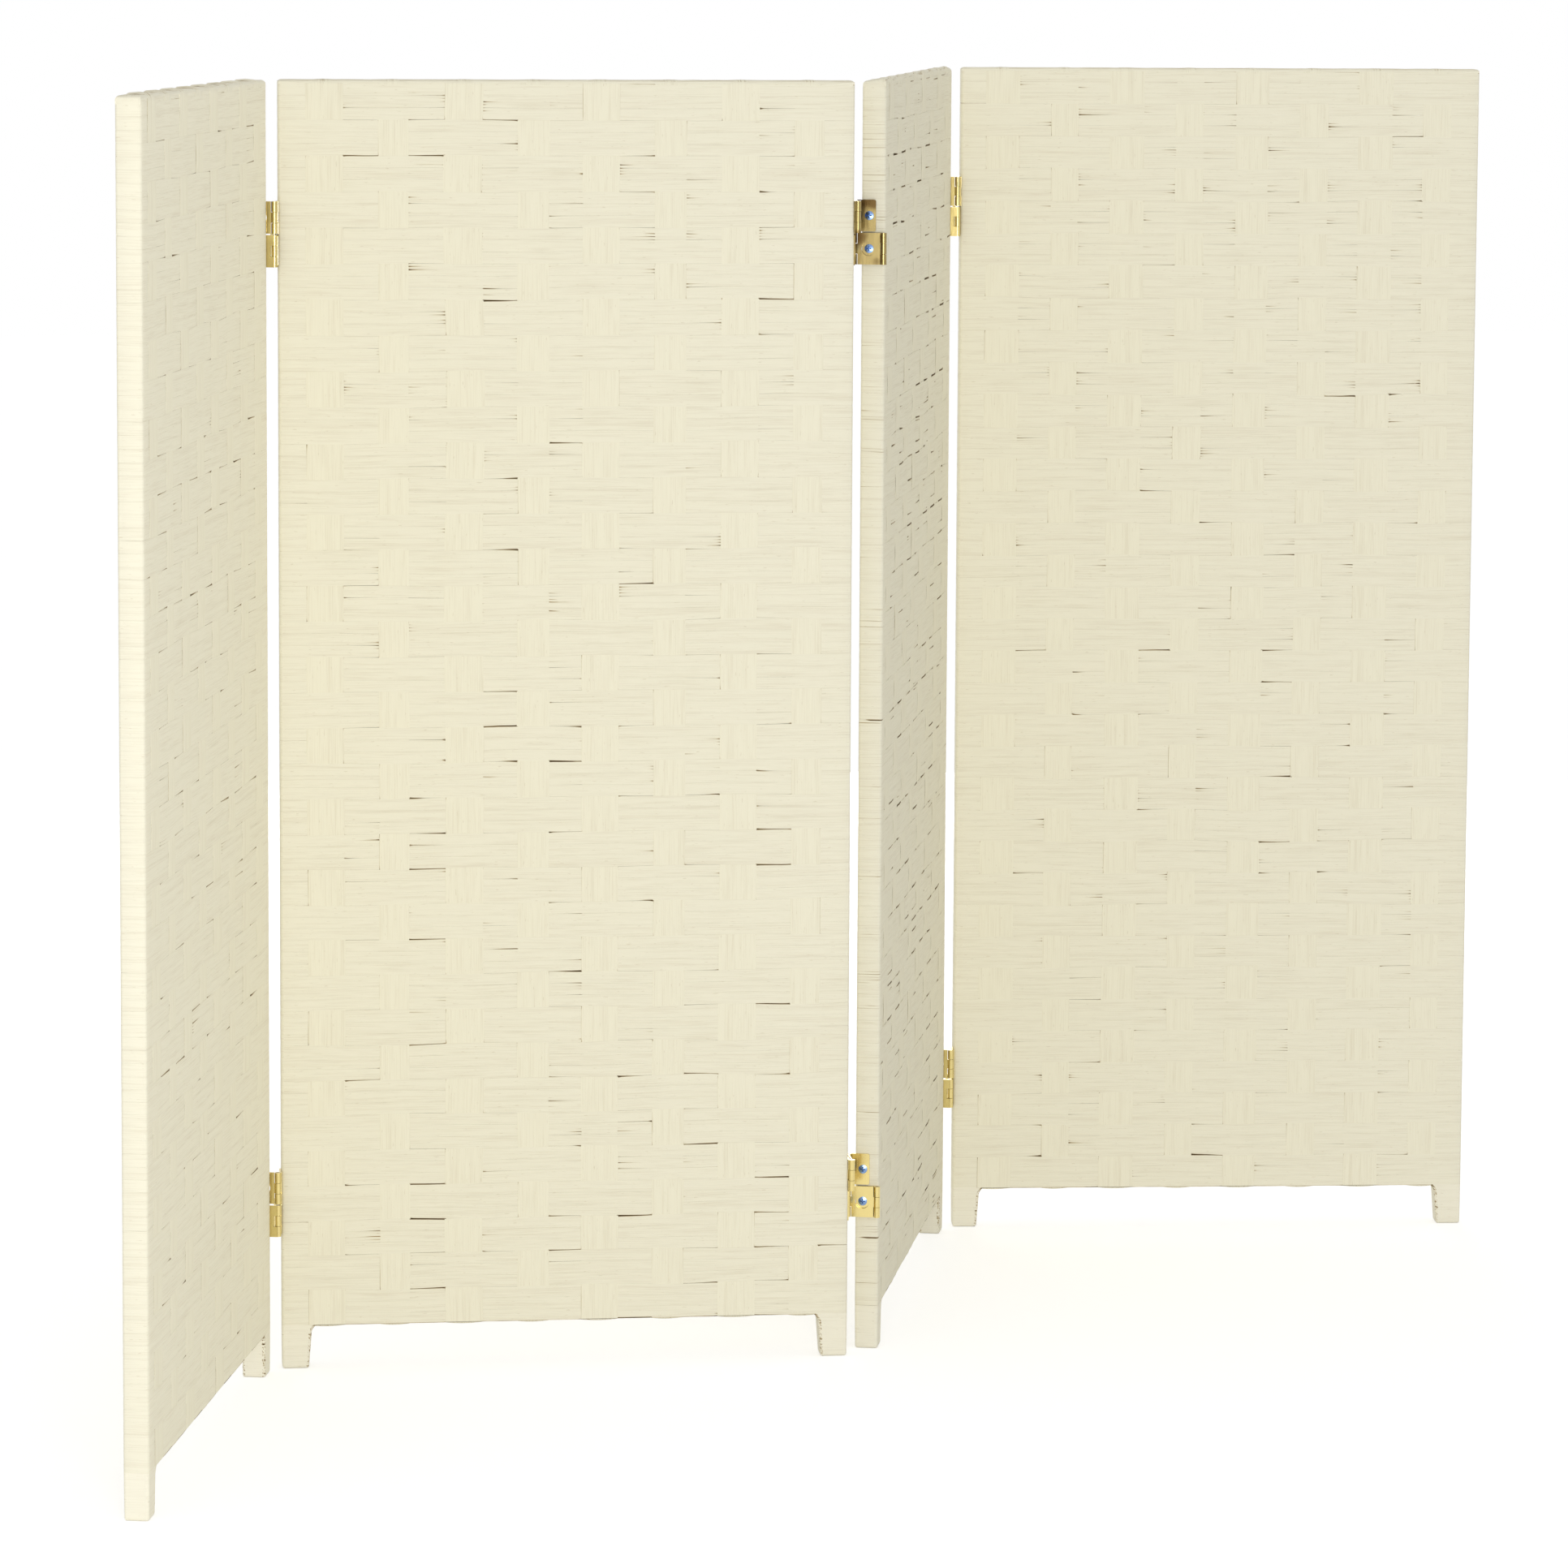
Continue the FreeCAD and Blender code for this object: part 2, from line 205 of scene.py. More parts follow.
def new_block(name: str, size: Place, centre: Place) -> bpy.types.Object:
    """Adds a block in a panel's own axes and makes it the active piece.

    Args:
        name: The block's name.
        size: Its sizes along x, y and z.
        centre: Its middle.

    Returns:
        The block.
    """
    deselect_all()
    bpy.ops.mesh.primitive_cube_add(size=MM, location=[value * MM for value in centre])
    block = bpy.context.object
    block.name = name
    block.scale = size
    bpy.ops.object.transform_apply(location=True, rotation=True, scale=True)
    return block


def open_side(block: bpy.types.Object, rim: Rim) -> None:
    """Deletes the face of the active block that looks up or down.

    Args:
        block: The block.
        rim: The side that is opened.
    """
    bpy.ops.object.mode_set(mode="EDIT")
    bpy.ops.mesh.select_mode(type="FACE")
    bpy.ops.mesh.select_all(action="DESELECT")
    bpy.ops.object.mode_set(mode="OBJECT")
    for polygon in block.data.polygons:
        polygon.select = polygon.normal.z * rim.value > FACING
    bpy.ops.object.mode_set(mode="EDIT")
    bpy.ops.mesh.delete(type="FACE")
    bpy.ops.mesh.select_mode(type="EDGE")
    bpy.ops.object.mode_set(mode="OBJECT")


def round_edges(
    piece: bpy.types.Object, chosen: Callable[[np.ndarray], bool], radius: float, steps: int
) -> None:
    """Rounds those edges of the active piece that a test picks, and leaves it in edit mode.

    Args:
        piece: The piece.
        chosen: Tells from the heights of an edge's two ends whether it is rounded.
        radius: The radius of the round.
        steps: How many flats make it.
    """
    bpy.ops.object.mode_set(mode="EDIT")
    bpy.ops.mesh.select_all(action="DESELECT")
    bpy.ops.object.mode_set(mode="OBJECT")
    heights = vertex_places(piece)[:, 2] / MM
    for line in piece.data.edges:
        line.select = bool(chosen(heights[list(line.vertices)]))
    bpy.ops.object.mode_set(mode="EDIT")
    bpy.ops.mesh.bevel(offset=radius * MM, segments=steps, affect="EDGES")


def cut_through(axis: Axis, places: Iterable[float]) -> None:
    """Divides the faces of the piece in edit mode where planes cut through them.

    Args:
        axis: The axis that the planes cross.
        places: Where they cross it.
    """
    normal = [0.0, 0.0, 0.0]
    normal[axis.value] = 1.0
    for place in places:
        bpy.ops.mesh.select_all(action="SELECT")
        bpy.ops.mesh.bisect(plane_co=[value * place * MM for value in normal], plane_no=normal)


def thicken(piece: bpy.types.Object, wall: float) -> None:
    """Gives the active shell a wall on its inside, and evens its normals.

    Args:
        piece: The shell.
        wall: The wall's thickness.
    """
    shell = piece.modifiers.new("wall", "SOLIDIFY")
    shell.thickness = wall * MM
    shell.offset = -1.0
    bpy.ops.object.modifier_apply(modifier=shell.name)
    bpy.ops.object.shade_smooth_by_angle(angle=SOFT_EDGE)


def hand_over(piece: bpy.types.Object, panel: int, finish: bpy.types.Material, node: str) -> None:
    """Dresses a fibre piece and ties it to its panel.

    Args:
        piece: The finished piece.
        panel: The number of the panel that carries it.
        finish: The material that it gets.
        node: The plain solid that it stands for.
    """
    piece.data.materials.clear()
    piece.data.materials.append(finish)
    # The panel's tone mark is painted light: it makes a whole panel's colour lighter or darker.
    set_mark(piece.data, Mark.TONE, np.full(len(piece.data.vertices), WEAVINGS[panel].tone))
    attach(piece, f"panel_{panel}")
    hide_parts(node)
    log.info("%s has %d faces", piece.name, len(piece.data.polygons))


# Node helpers


class NodeSheet:
    """A node tree that is filled node by node."""

    def __init__(self, tree: bpy.types.NodeTree) -> None:
        """Keeps the tree and empties it."""
        self.tree = tree
        tree.nodes.clear()

    def add(self, kind: str, **settings: object) -> bpy.types.Node:
        """Adds a node and sets its properties.

        Args:
            kind: The node's type name without its leading ShaderNode, or in full for a group's ends.
            settings: The node's properties by name.

        Returns:
            The new node.
        """
        full = kind if kind.startswith("NodeGroup") else f"ShaderNode{kind}"
        node = self.tree.nodes.new(full)
        for name, value in settings.items():
            setattr(node, name, value)
        return node

    def join(self, source: bpy.types.NodeSocket, target: bpy.types.NodeSocket) -> None:
        """Links an output to an input."""
        self.tree.links.new(source, target)

    def feed(self, target: bpy.types.NodeSocket, value: object) -> None:
        """Links a socket to an input, or sets the input to a plain value.

        Args:
            target: The input.
            value: A socket or a value.
        """
        if isinstance(value, bpy.types.NodeSocket):
            self.join(value, target)
        else:
            target.default_value = value

    def math(
        self, operation: str, first: object, second: object, third: object = 0.0
    ) -> bpy.types.NodeSocket:
        """Adds a sum of two or three values.

        Args:
            operation: The name of the sum, such as MULTIPLY.
            first: A socket or a number.
            second: A socket or a number.
            third: A socket or a number, for a sum of three.

        Returns:
            The result's socket.
        """
        node = self.add("Math", operation=operation)
        for socket, entry in zip(node.inputs, (first, second, third)):
            self.feed(socket, entry)
        return node.outputs[0]

    def ramp(
        self, value: object, low: float, high: float, start: float = 0.0, end: float = 1.0
    ) -> bpy.types.NodeSocket:
        """Eases a value from one range into another.

        Args:
            value: The socket to ease.
            low: Where the ease starts.
            high: Where it ends.
            start: The result up to low.
            end: The result from high on.

        Returns:
            The result's socket.
        """
        node = self.add("MapRange", interpolation_type="SMOOTHSTEP")
        for index, entry in enumerate((value, low, high, start, end)):
            self.feed(node.inputs[index], entry)
        return node.outputs[0]

    def mix(self, share: object, first: object, second: object) -> bpy.types.NodeSocket:
        """Mixes two colours.

        Args:
            share: How much of the second colour shows.
            first: A socket or a colour.
            second: A socket or a colour.

        Returns:
            The mixed colour's socket.
        """
        node = self.add("Mix", data_type="RGBA", blend_type="MIX")
        colours = [socket for socket in node.inputs if socket.type == "RGBA"]
        self.feed(node.inputs[0], share)
        for socket, entry in zip(colours, (first, second)):
            self.feed(socket, entry if isinstance(entry, bpy.types.NodeSocket) else (*entry, 1.0))
        return next(socket for socket in node.outputs if socket.type == "RGBA")

    def mark(self, mark: Mark) -> bpy.types.NodeSocket:
        """Reads a mark of the mesh."""
        return self.add("Attribute", attribute_name=mark.value).outputs["Fac"]


@dataclass(frozen=True)
class Grain:
    """A noise that is drawn out along its axes, and the two values between which it eases from 0 to 1."""

    stretch: tuple[float, float, float]
    detail: float
    low: float
    high: float

    def plain(self, sheet: NodeSheet, place: bpy.types.NodeSocket) -> bpy.types.NodeSocket:
        """Adds the noise as it is.

        Args:
            sheet: The sheet to add to.
            place: The socket that says where a point lies.

        Returns:
            The noise's value.
        """
        drawn_out = sheet.add("VectorMath", operation="MULTIPLY")
        sheet.join(place, drawn_out.inputs[0])
        drawn_out.inputs[1].default_value = self.stretch
        noise = sheet.add("TexNoise")
        sheet.join(drawn_out.outputs[0], noise.inputs["Vector"])
        noise.inputs["Scale"].default_value = 1.0
        noise.inputs["Detail"].default_value = self.detail
        return noise.outputs[0]

    def eased(self, sheet: NodeSheet, place: bpy.types.NodeSocket) -> bpy.types.NodeSocket:
        """Adds the noise, eased from 0 to 1."""
        return sheet.ramp(self.plain(sheet, place), self.low, self.high)


STRAND_LINE = Grain(stretch=(28.0, 1350.0, 1.0), detail=2.0, low=0.34, high=0.54)
STRAND_TONE = Grain(stretch=(11.0, 210.0, 1.0), detail=1.0, low=0.3, high=0.7)
STRAND_FLECK = Grain(stretch=(160.0, 900.0, 1.0), detail=1.0, low=0.68, high=0.78)
TARNISH_CLOUD = Grain(stretch=(55.0, 55.0, 55.0), detail=1.0, low=0.45, high=0.75)
RUBBED_LINES = Grain(stretch=(900.0, 900.0, 90.0), detail=2.0, low=0.35, high=0.65)
WOOD_GRAIN = Grain(stretch=(260.0, 260.0, 9.0), detail=3.0, low=0.35, high=0.65)


def pattern_group(name: str, place: str, patterns: dict[str, Grain]) -> bpy.types.NodeTree:
    """Builds a shared group of patterns that read the same place.

    Args:
        name: The group's name.
        place: The name of its input.
        patterns: Its patterns by the names of its outputs.

    Returns:
        The group, whose outputs run from 0 to 1.
    """
    tree = bpy.data.node_groups.new(name, "ShaderNodeTree")
    tree.interface.new_socket(place, in_out="INPUT", socket_type="NodeSocketVector")
    for label in patterns:
        tree.interface.new_socket(label, in_out="OUTPUT", socket_type="NodeSocketFloat")
    sheet = NodeSheet(tree)
    entry = sheet.add("NodeGroupInput")
    leave = sheet.add("NodeGroupOutput")
    for label, grain in patterns.items():
        sheet.join(grain.eased(sheet, entry.outputs[place]), leave.inputs[label])
    return tree


def fibre_lines_group() -> bpy.types.NodeTree:
    """Builds the shared pattern of strands: fine lines along a fibre, a broad tone and rare flecks."""
    patterns = {"Line": STRAND_LINE, "Tone": STRAND_TONE, "Fleck": STRAND_FLECK}
    return pattern_group("fibre_lines", "Lay", patterns)


def metal_wear_group() -> bpy.types.NodeTree:
    """Builds the shared pattern of handling marks on small metal parts: cloudy tarnish and rubbed lines."""
    return pattern_group("metal_wear", "Place", {"Tarnish": TARNISH_CLOUD, "Rub": RUBBED_LINES})


def start_material(name: str) -> tuple[NodeSheet, bpy.types.Node, bpy.types.Material]:
    """Starts a node material with one main shader.

    Args:
        name: The material's name.

    Returns:
        The sheet to fill, the shader node and the material.
    """
    material = bpy.data.materials.new(name)
    material.use_nodes = True
    sheet = NodeSheet(material.node_tree)
    shader = sheet.add("BsdfPrincipled")
    result = sheet.add("OutputMaterial")
    sheet.join(shader.outputs[0], result.inputs["Surface"])
    return sheet, shader, material


def seen_directly(sheet: NodeSheet) -> bpy.types.NodeSocket:
    """Tells the rays that see a surface, straight or in a reflection, from those that only gather light.

    Args:
        sheet: The sheet to add to.

    Returns:
        A socket that is 1 for the rays that see.
    """
    path = sheet.add("LightPath")
    seen = sheet.math("MAXIMUM", path.outputs["Is Camera Ray"], path.outputs["Is Glossy Ray"])
    return sheet.math("MAXIMUM", seen, path.outputs["Is Transmission Ray"])


def bump(
    sheet: NodeSheet, shader: bpy.types.Node, height: bpy.types.NodeSocket, strength: float, depth: float
) -> None:
    """Raises a shader's surface by a pattern.

    Args:
        sheet: The material's sheet.
        shader: The shader that gets the relief.
        height: The pattern.
        strength: How much of it shows.
        depth: The relief's full depth in metres.
    """
    node = sheet.add("Bump")
    node.inputs["Strength"].default_value = strength
    node.inputs["Distance"].default_value = depth
    sheet.join(height, node.inputs["Height"])
    sheet.join(node.outputs[0], shader.inputs["Normal"])


# Finishes


@dataclass(frozen=True)
class FibreFinish:
    """Painted fibre: pale strands with fine lines along them, brown in the slits where they part, and tan to
    brown painted shade where a mesh's tuck mark paints it.

    The shares say how far the lines, the broad tone and a strand's own shade pull the paint from pale to
    deep. The wear values raise or lower a tuck mark in a line's groove and on its crown, and a pair of marks
    says where the paint starts to turn tan or brown, and where it has turned.
    """

    name: str
    pale: Colour
    deep: Colour
    tan: Colour = from_screen(178, 158, 118)
    brown: Colour = from_screen(86, 68, 42)
    line_share: float = 0.5
    tone_share: float = -0.25
    tone_start: float = 0.2
    shade_share: float = 0.3
    fleck_share: float = 0.25
    groove_wear: float = 1.15
    crown_wear: float = 0.85
    tan_marks: Pair = (0.4, 0.8)
    brown_marks: Pair = (0.7, 1.0)
    groove_roughness: float = 0.86
    crown_roughness: float = 0.66
    gloss: float = 0.3
    relief_share: float = 0.6
    relief: float = 0.08 * MM

    def material(self, lines: bpy.types.NodeTree) -> bpy.types.Material:
        """Builds the material.

        Args:
            lines: The shared pattern of strands.

        Returns:
            The material.
        """
        sheet, shader, material = start_material(self.name)
        group = sheet.add("Group", node_tree=lines)
        sheet.join(sheet.add("UVMap").outputs[0], group.inputs["Lay"])
        line = group.outputs["Line"]
        depth = sheet.math("MULTIPLY", sheet.math("SUBTRACT", 1.0, line), self.line_share)
        toned = sheet.math("MULTIPLY_ADD", group.outputs["Tone"], self.tone_share, self.tone_start)
        base = sheet.math("ADD", depth, toned)
        shaded = sheet.math("MULTIPLY_ADD", sheet.mark(Mark.SHADE), self.shade_share, base)
        colour = sheet.mix(sheet.ramp(shaded, 0.0, 1.0), self.pale, self.deep)
        flecked = sheet.math("MULTIPLY", group.outputs["Fleck"], self.fleck_share)
        colour = sheet.mix(flecked, colour, self.tan)
        wear = sheet.ramp(line, 0.0, 1.0, self.groove_wear, self.crown_wear)
        # The tuck mark turns the paint tan and brown: bare fibre in the slits, and painted shade on the rims,
        # the top strip and beside crossings.
        worn = sheet.math("MULTIPLY", sheet.mark(Mark.TUCK_AND_SHADE), wear)
        colour = sheet.mix(sheet.ramp(worn, *self.tan_marks), colour, self.tan)
        colour = sheet.mix(sheet.ramp(worn, *self.brown_marks), colour, self.brown)
        # Scaling by the panel's tone mark is painted light and shade on the whole panel.
        paint = sheet.add("VectorMath", operation="SCALE")
        sheet.join(colour, paint.inputs[0])
        sheet.join(sheet.mark(Mark.TONE), paint.inputs["Scale"])
        sheet.join(paint.outputs[0], shader.inputs["Base Color"])
        roughness = sheet.ramp(line, 0.0, 1.0, self.groove_roughness, self.crown_roughness)
        sheet.join(roughness, shader.inputs["Roughness"])
        shader.inputs["Specular IOR Level"].default_value = self.gloss
        bump(sheet, shader, line, self.relief_share, self.relief)
        return material


@dataclass(frozen=True)
class MetalFinish:
    """Bright sheet metal or plated steel with cloudy tarnish, painted shade in its recesses and painted dark
    reflection higher up.

    clean is how much tarnish shows at and below the lower height, and the upper share is how much shows from
    the upper height up, in metres; the rise between them is painted dark reflection on the higher parts. The
    cloud values thin and thicken it, and the light values are how open a place is where the painted shade of
    a recess is full, and where it ends.
    """

    name: str
    bright: Colour
    tarnish_and_shade: Colour
    smooth: float
    rough: float
    tarnish_and_height_shade: float = 0.45
    clean: float = 0.25
    shade_start_height: float = 0.4
    full_shade_height: float = 0.8
    thin_cloud: float = 0.6
    thick_cloud: float = 0.85
    recess: float = 2.5 * MM
    recess_samples: int = 8
    recess_light: float = 0.45
    open_light: float = 0.9
    relief_share: float = 0.015
    relief: float = 0.02 * MM

    def material(self, wear: bpy.types.NodeTree) -> bpy.types.Material:
        """Builds the material.

        Args:
            wear: The shared pattern of handling marks.

        Returns:
            The material.
        """
        sheet, shader, material = start_material(self.name)
        place = sheet.add("TexCoord").outputs["Object"]
        group = sheet.add("Group", node_tree=wear)
        sheet.join(place, group.inputs["Place"])
        height = sheet.add("SeparateXYZ")
        sheet.join(place, height.inputs[0])
        # Painted dark reflection: the tarnish grows darker higher up, so that the upper hinges look as if
        # they mirrored a dark room.
        heights = (self.shade_start_height, self.full_shade_height)
        tarnish_and_height_shade = sheet.ramp(height.outputs["Z"], *heights, self.clean, self.tarnish_and_height_shade)
        cloud = sheet.ramp(group.outputs["Tarnish"], 0.0, 1.0, self.thin_cloud, self.thick_cloud)
        tarnish = sheet.math("MULTIPLY", cloud, tarnish_and_height_shade)
        # Painted shade: the colour darkens in recesses, by how closed in a place is.
        occlusion = sheet.add("AmbientOcclusion", only_local=True, samples=self.recess_samples)
        occlusion.inputs["Distance"].default_value = self.recess
        recess_shade = sheet.ramp(occlusion.outputs["AO"], self.recess_light, self.open_light, 1.0, 0.0)
        tarnish_and_painted_shade = sheet.math("MAXIMUM", tarnish, recess_shade)
        sheet.join(sheet.mix(tarnish_and_painted_shade, self.bright, self.tarnish_and_shade), shader.inputs["Base Color"])
        roughness = sheet.ramp(group.outputs["Rub"], 0.0, 1.0, self.smooth, self.rough)
        sheet.join(roughness, shader.inputs["Roughness"])
        shader.inputs["Metallic"].default_value = 1.0
        bump(sheet, shader, group.outputs["Rub"], self.relief_share, self.relief)
        return material


@dataclass(frozen=True)
class WoodFinish:
    """Plain sawn softwood with grain that runs upwards, which shows only where the weave opens."""

    name: str
    early: Colour
    late: Colour
    rough_grain: Pair = (0.3, 0.7)
    smooth: float = 0.62
    rough: float = 0.82
    relief_share: float = 0.3
    relief: float = 0.1 * MM

    def material(self) -> bpy.types.Material:
        """Builds the material.

        Returns:
            The material.
        """
        sheet, shader, material = start_material(self.name)
        grain = WOOD_GRAIN.plain(sheet, sheet.add("TexCoord").outputs["Object"])
        rings = sheet.ramp(grain, WOOD_GRAIN.low, WOOD_GRAIN.high)
        sheet.join(sheet.mix(rings, self.early, self.late), shader.inputs["Base Color"])
        roughness = sheet.ramp(grain, *self.rough_grain, self.smooth, self.rough)
        sheet.join(roughness, shader.inputs["Roughness"])
        bump(sheet, shader, grain, self.relief_share, self.relief)
        return material


LEAF_BRASS = MetalFinish(
    name="leaf_brass",
    bright=from_screen(236, 217, 148),
    tarnish_and_shade=from_screen(96, 74, 42),
    smooth=0.2,
    rough=0.25,
)
# The middle hinges' brass gets more painted dark reflection higher up.
SHADED_BRASS = replace(LEAF_BRASS, name="worn_brass", tarnish_and_height_shade=1.15)
# The pins' brass is darker than the leaves': painted shade, so that their ends show no bright highlight.
PIN_BRASS = MetalFinish(
    name="pin_brass",
    bright=from_screen(150, 122, 72),
    tarnish_and_shade=from_screen(84, 62, 34),
    smooth=0.25,
    rough=0.4,
)
ZINC_PLATE = MetalFinish(
    name="zinc_plate",
    bright=from_screen(136, 164, 208),
    tarnish_and_shade=from_screen(30, 58, 112),
    smooth=0.2,
    rough=0.3,
    tarnish_and_height_shade=0.25,
)
WEFT_FIBRE = FibreFinish("weft_fibre", pale=from_screen(238, 233, 211), deep=from_screen(229, 222, 199))
WARP_FIBRE = FibreFinish("warp_fibre", pale=from_screen(239, 234, 211), deep=from_screen(230, 223, 199))
FOOT_FIBRE = FibreFinish(
    "foot_fibre", pale=from_screen(241, 236, 216), deep=from_screen(233, 227, 206), line_share=0.4
)
SAWN_WOOD = WoodFinish("sawn_wood", early=from_screen(205, 178, 136), late=from_screen(172, 138, 96))


@dataclass(frozen=True)
class Finishes:
    """Every material of the screen."""

    weft: bpy.types.Material
    warp: bpy.types.Material
    foot: bpy.types.Material
    brass: bpy.types.Material
    worn_brass: bpy.types.Material
    pin: bpy.types.Material
    zinc: bpy.types.Material
    wood: bpy.types.Material

    @classmethod
    def mixed(cls) -> "Finishes":
        """Mixes the finishes from their shared patterns.

        Returns:
            The materials.
        """
        lines = fibre_lines_group()
        wear = metal_wear_group()
        return cls(
            weft=WEFT_FIBRE.material(lines),
            warp=WARP_FIBRE.material(lines),
            foot=FOOT_FIBRE.material(lines),
            brass=LEAF_BRASS.material(wear),
            worn_brass=SHADED_BRASS.material(wear),
            pin=PIN_BRASS.material(wear),
            zinc=ZINC_PLATE.material(wear),
            wood=SAWN_WOOD.material(),
        )


# Panels


@dataclass(frozen=True)
class PanelSizes:
    """The outer sizes of a panel."""

    width: float = 450.0
    height: float = 1016.0
    half_thickness: float = 9.5
    foot_height: float = 33.0
    foot_width: float = 22.0


@dataclass(frozen=True)
class Weaving:
    """How one panel was woven and painted.

    Attributes:
        slit_share: How often its strands part.
        slit_width: How wide they part.
        pit: How much wider a slit is beside a warp.
        bunch_share: How often fine slits lie in a bunch.
        top_bunches: How much more its strands bunch than part in the upper rows.
        edge_lines: How dark the lines on its upright edges are.
        bulge: How far its strands stand out.
        tone: How pale its paint is.
        top_strip: The height of the strip above its first row.
        top_hump: How high its warps stand on the top rim.
        top_swell: How far the top rim is raised at the front.
        top_sink: How far the top rim is lowered at the back.
    """

    slit_share: float = 1.0
    slit_width: float = 1.0
    pit: float = 0.6
    bunch_share: float = 1.0
    top_bunches: float = 1.0
    edge_lines: float = 0.0
    # tone: How much lighter or darker the whole panel is drawn, as painted light and shade.
    bulge: float = 1.0
    tone: float = 1.0
    top_strip: float = 3.0
    top_hump: float = 0.15
    top_swell: float = 0.0
    top_sink: float = 0.0


# The tone values are painted light: panels 1 and 4 are drawn lighter and panel 3 darker as a whole.
WEAVINGS = {
    1: Weaving(
        slit_share=1.75,
        slit_width=0.5,
        bunch_share=0.6,
        bulge=3.0,
        tone=1.07,
        top_strip=5.8,
        top_hump=1.4,
    ),
    2: Weaving(slit_share=0.85, slit_width=0.75, bunch_share=1.6, top_bunches=2.0),
    3: Weaving(
        slit_share=1.4,
        slit_width=1.8,
        bunch_share=0.2,
        edge_lines=1.2,
        bulge=8.0,
        tone=0.99,
        top_strip=4.6,
        top_hump=0.3,
        top_swell=2.4,
        top_sink=0.7,
    ),
    4: Weaving(slit_share=0.7, slit_width=0.6, bunch_share=2.2, top_bunches=2.5, tone=1.06),
}


@dataclass(frozen=True)
class PanelPlace:
    """Where a panel stands: its left edge at mid-thickness on the floor, and the way that it heads."""

    number: int
    origin: np.ndarray
    heading: np.ndarray

    @classmethod
    def from_feet(cls, number: int, sizes: PanelSizes) -> "PanelPlace":
        """Finds a panel's place from its two feet.

        Args:
            number: The panel's number.
            sizes: The panel's sizes.

        Returns:
            The place.
        """
        boxes = (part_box(f"panel_{number}_{side}_foot_wrap") for side in ("left", "right"))
        left, right = (np.array(sum(box, Vector())) / 2.0 for box in boxes)
        heading = (right - left) / np.linalg.norm(right - left)
        origin = left - heading * sizes.foot_width / 2.0 * MM
        origin[2] = 0.0
        return cls(number, origin, heading)

    @property
    def matrix(self) -> Matrix:
        """The turn and shift that set a piece made in the panel's own axes in place."""
        turn = Matrix.Rotation(math.atan2(self.heading[1], self.heading[0]), 4, "Z")
        return Matrix.Translation(Vector(self.origin)) @ turn

    def in_frame(self, points: np.ndarray) -> np.ndarray:
        """Turns points in the panel's own millimetres into metres in the shared frame.

        Args:
            points: Points whose last axis is x, y and z.

        Returns:
            The points in the shared frame.
        """
        across = np.array((-self.heading[1], self.heading[0], 0.0))
        up = np.array((0.0, 0.0, 1.0))
        axes = np.stack((self.heading, across, up))
        return self.origin + MM * (points @ axes)

    def settle(self, piece: bpy.types.Object) -> None:
        """Moves a piece that was made in the panel's own axes, in metres, into place.

        Args:
            piece: The piece.
        """
        piece.matrix_world = self.matrix
        make_active(piece)
        bpy.ops.object.transform_apply(location=True, rotation=True, scale=True)


# Woven covers


@dataclass(frozen=True)
class Path:
    """Stations round a closed loop, where its fibres are set out.

    place and outward lie in the loop's own plane. level is 1 on the outside of the weave and 0 where the
    loop passes under. column is the gap between warps that a station lies in, share is how far across it,
    and end is 1 at the edges that the loop turns round.
    """

    place: np.ndarray
    outward: np.ndarray
    level: np.ndarray
    column: np.ndarray
    share: np.ndarray
    end: np.ndarray

    @property
    def along(self) -> np.ndarray:
        """The length along the loop.

        Returns:
            The length from the first station to each one, and back to the first.
        """
        closed = np.vstack((self.place, self.place[:1]))
        steps = np.linalg.norm(np.diff(closed, axis=0), axis=1)
        return np.concatenate(((0.0,), np.cumsum(steps)))

    @property
    def turn(self) -> np.ndarray:
        """How far round the loop each station is, from 0 to 1."""
        along = self.along
        return along[:-1] / along[-1]

    @property
    def hidden(self) -> np.ndarray:
        """How far each station lies under what crosses it, from 0 to 1."""
        return (1.0 - np.clip(self.level, 0.0, 1.0)) ** 2


class Wander:
    """A slow wander that closes on itself, so that a loop can follow it."""

    WAVES = 5
    MOST_TURNS = 8

    def __init__(self, rng: np.random.Generator, size: float) -> None:
        """Draws the waves.

        Args:
            rng: The source of chance.
            size: The usual height of the wander.
        """
        self.heights = rng.normal(0.0, size / math.sqrt(self.WAVES / 2.0), self.WAVES)
        self.turns = rng.integers(1, self.MOST_TURNS + 1, self.WAVES)
        self.starts = rng.uniform(0.0, math.tau, self.WAVES)

    def at(self, turn: np.ndarray) -> np.ndarray:
        """Gives the wander at each share of a turn."""
        return np.sin(math.tau * np.outer(turn, self.turns) + self.starts) @ self.heights


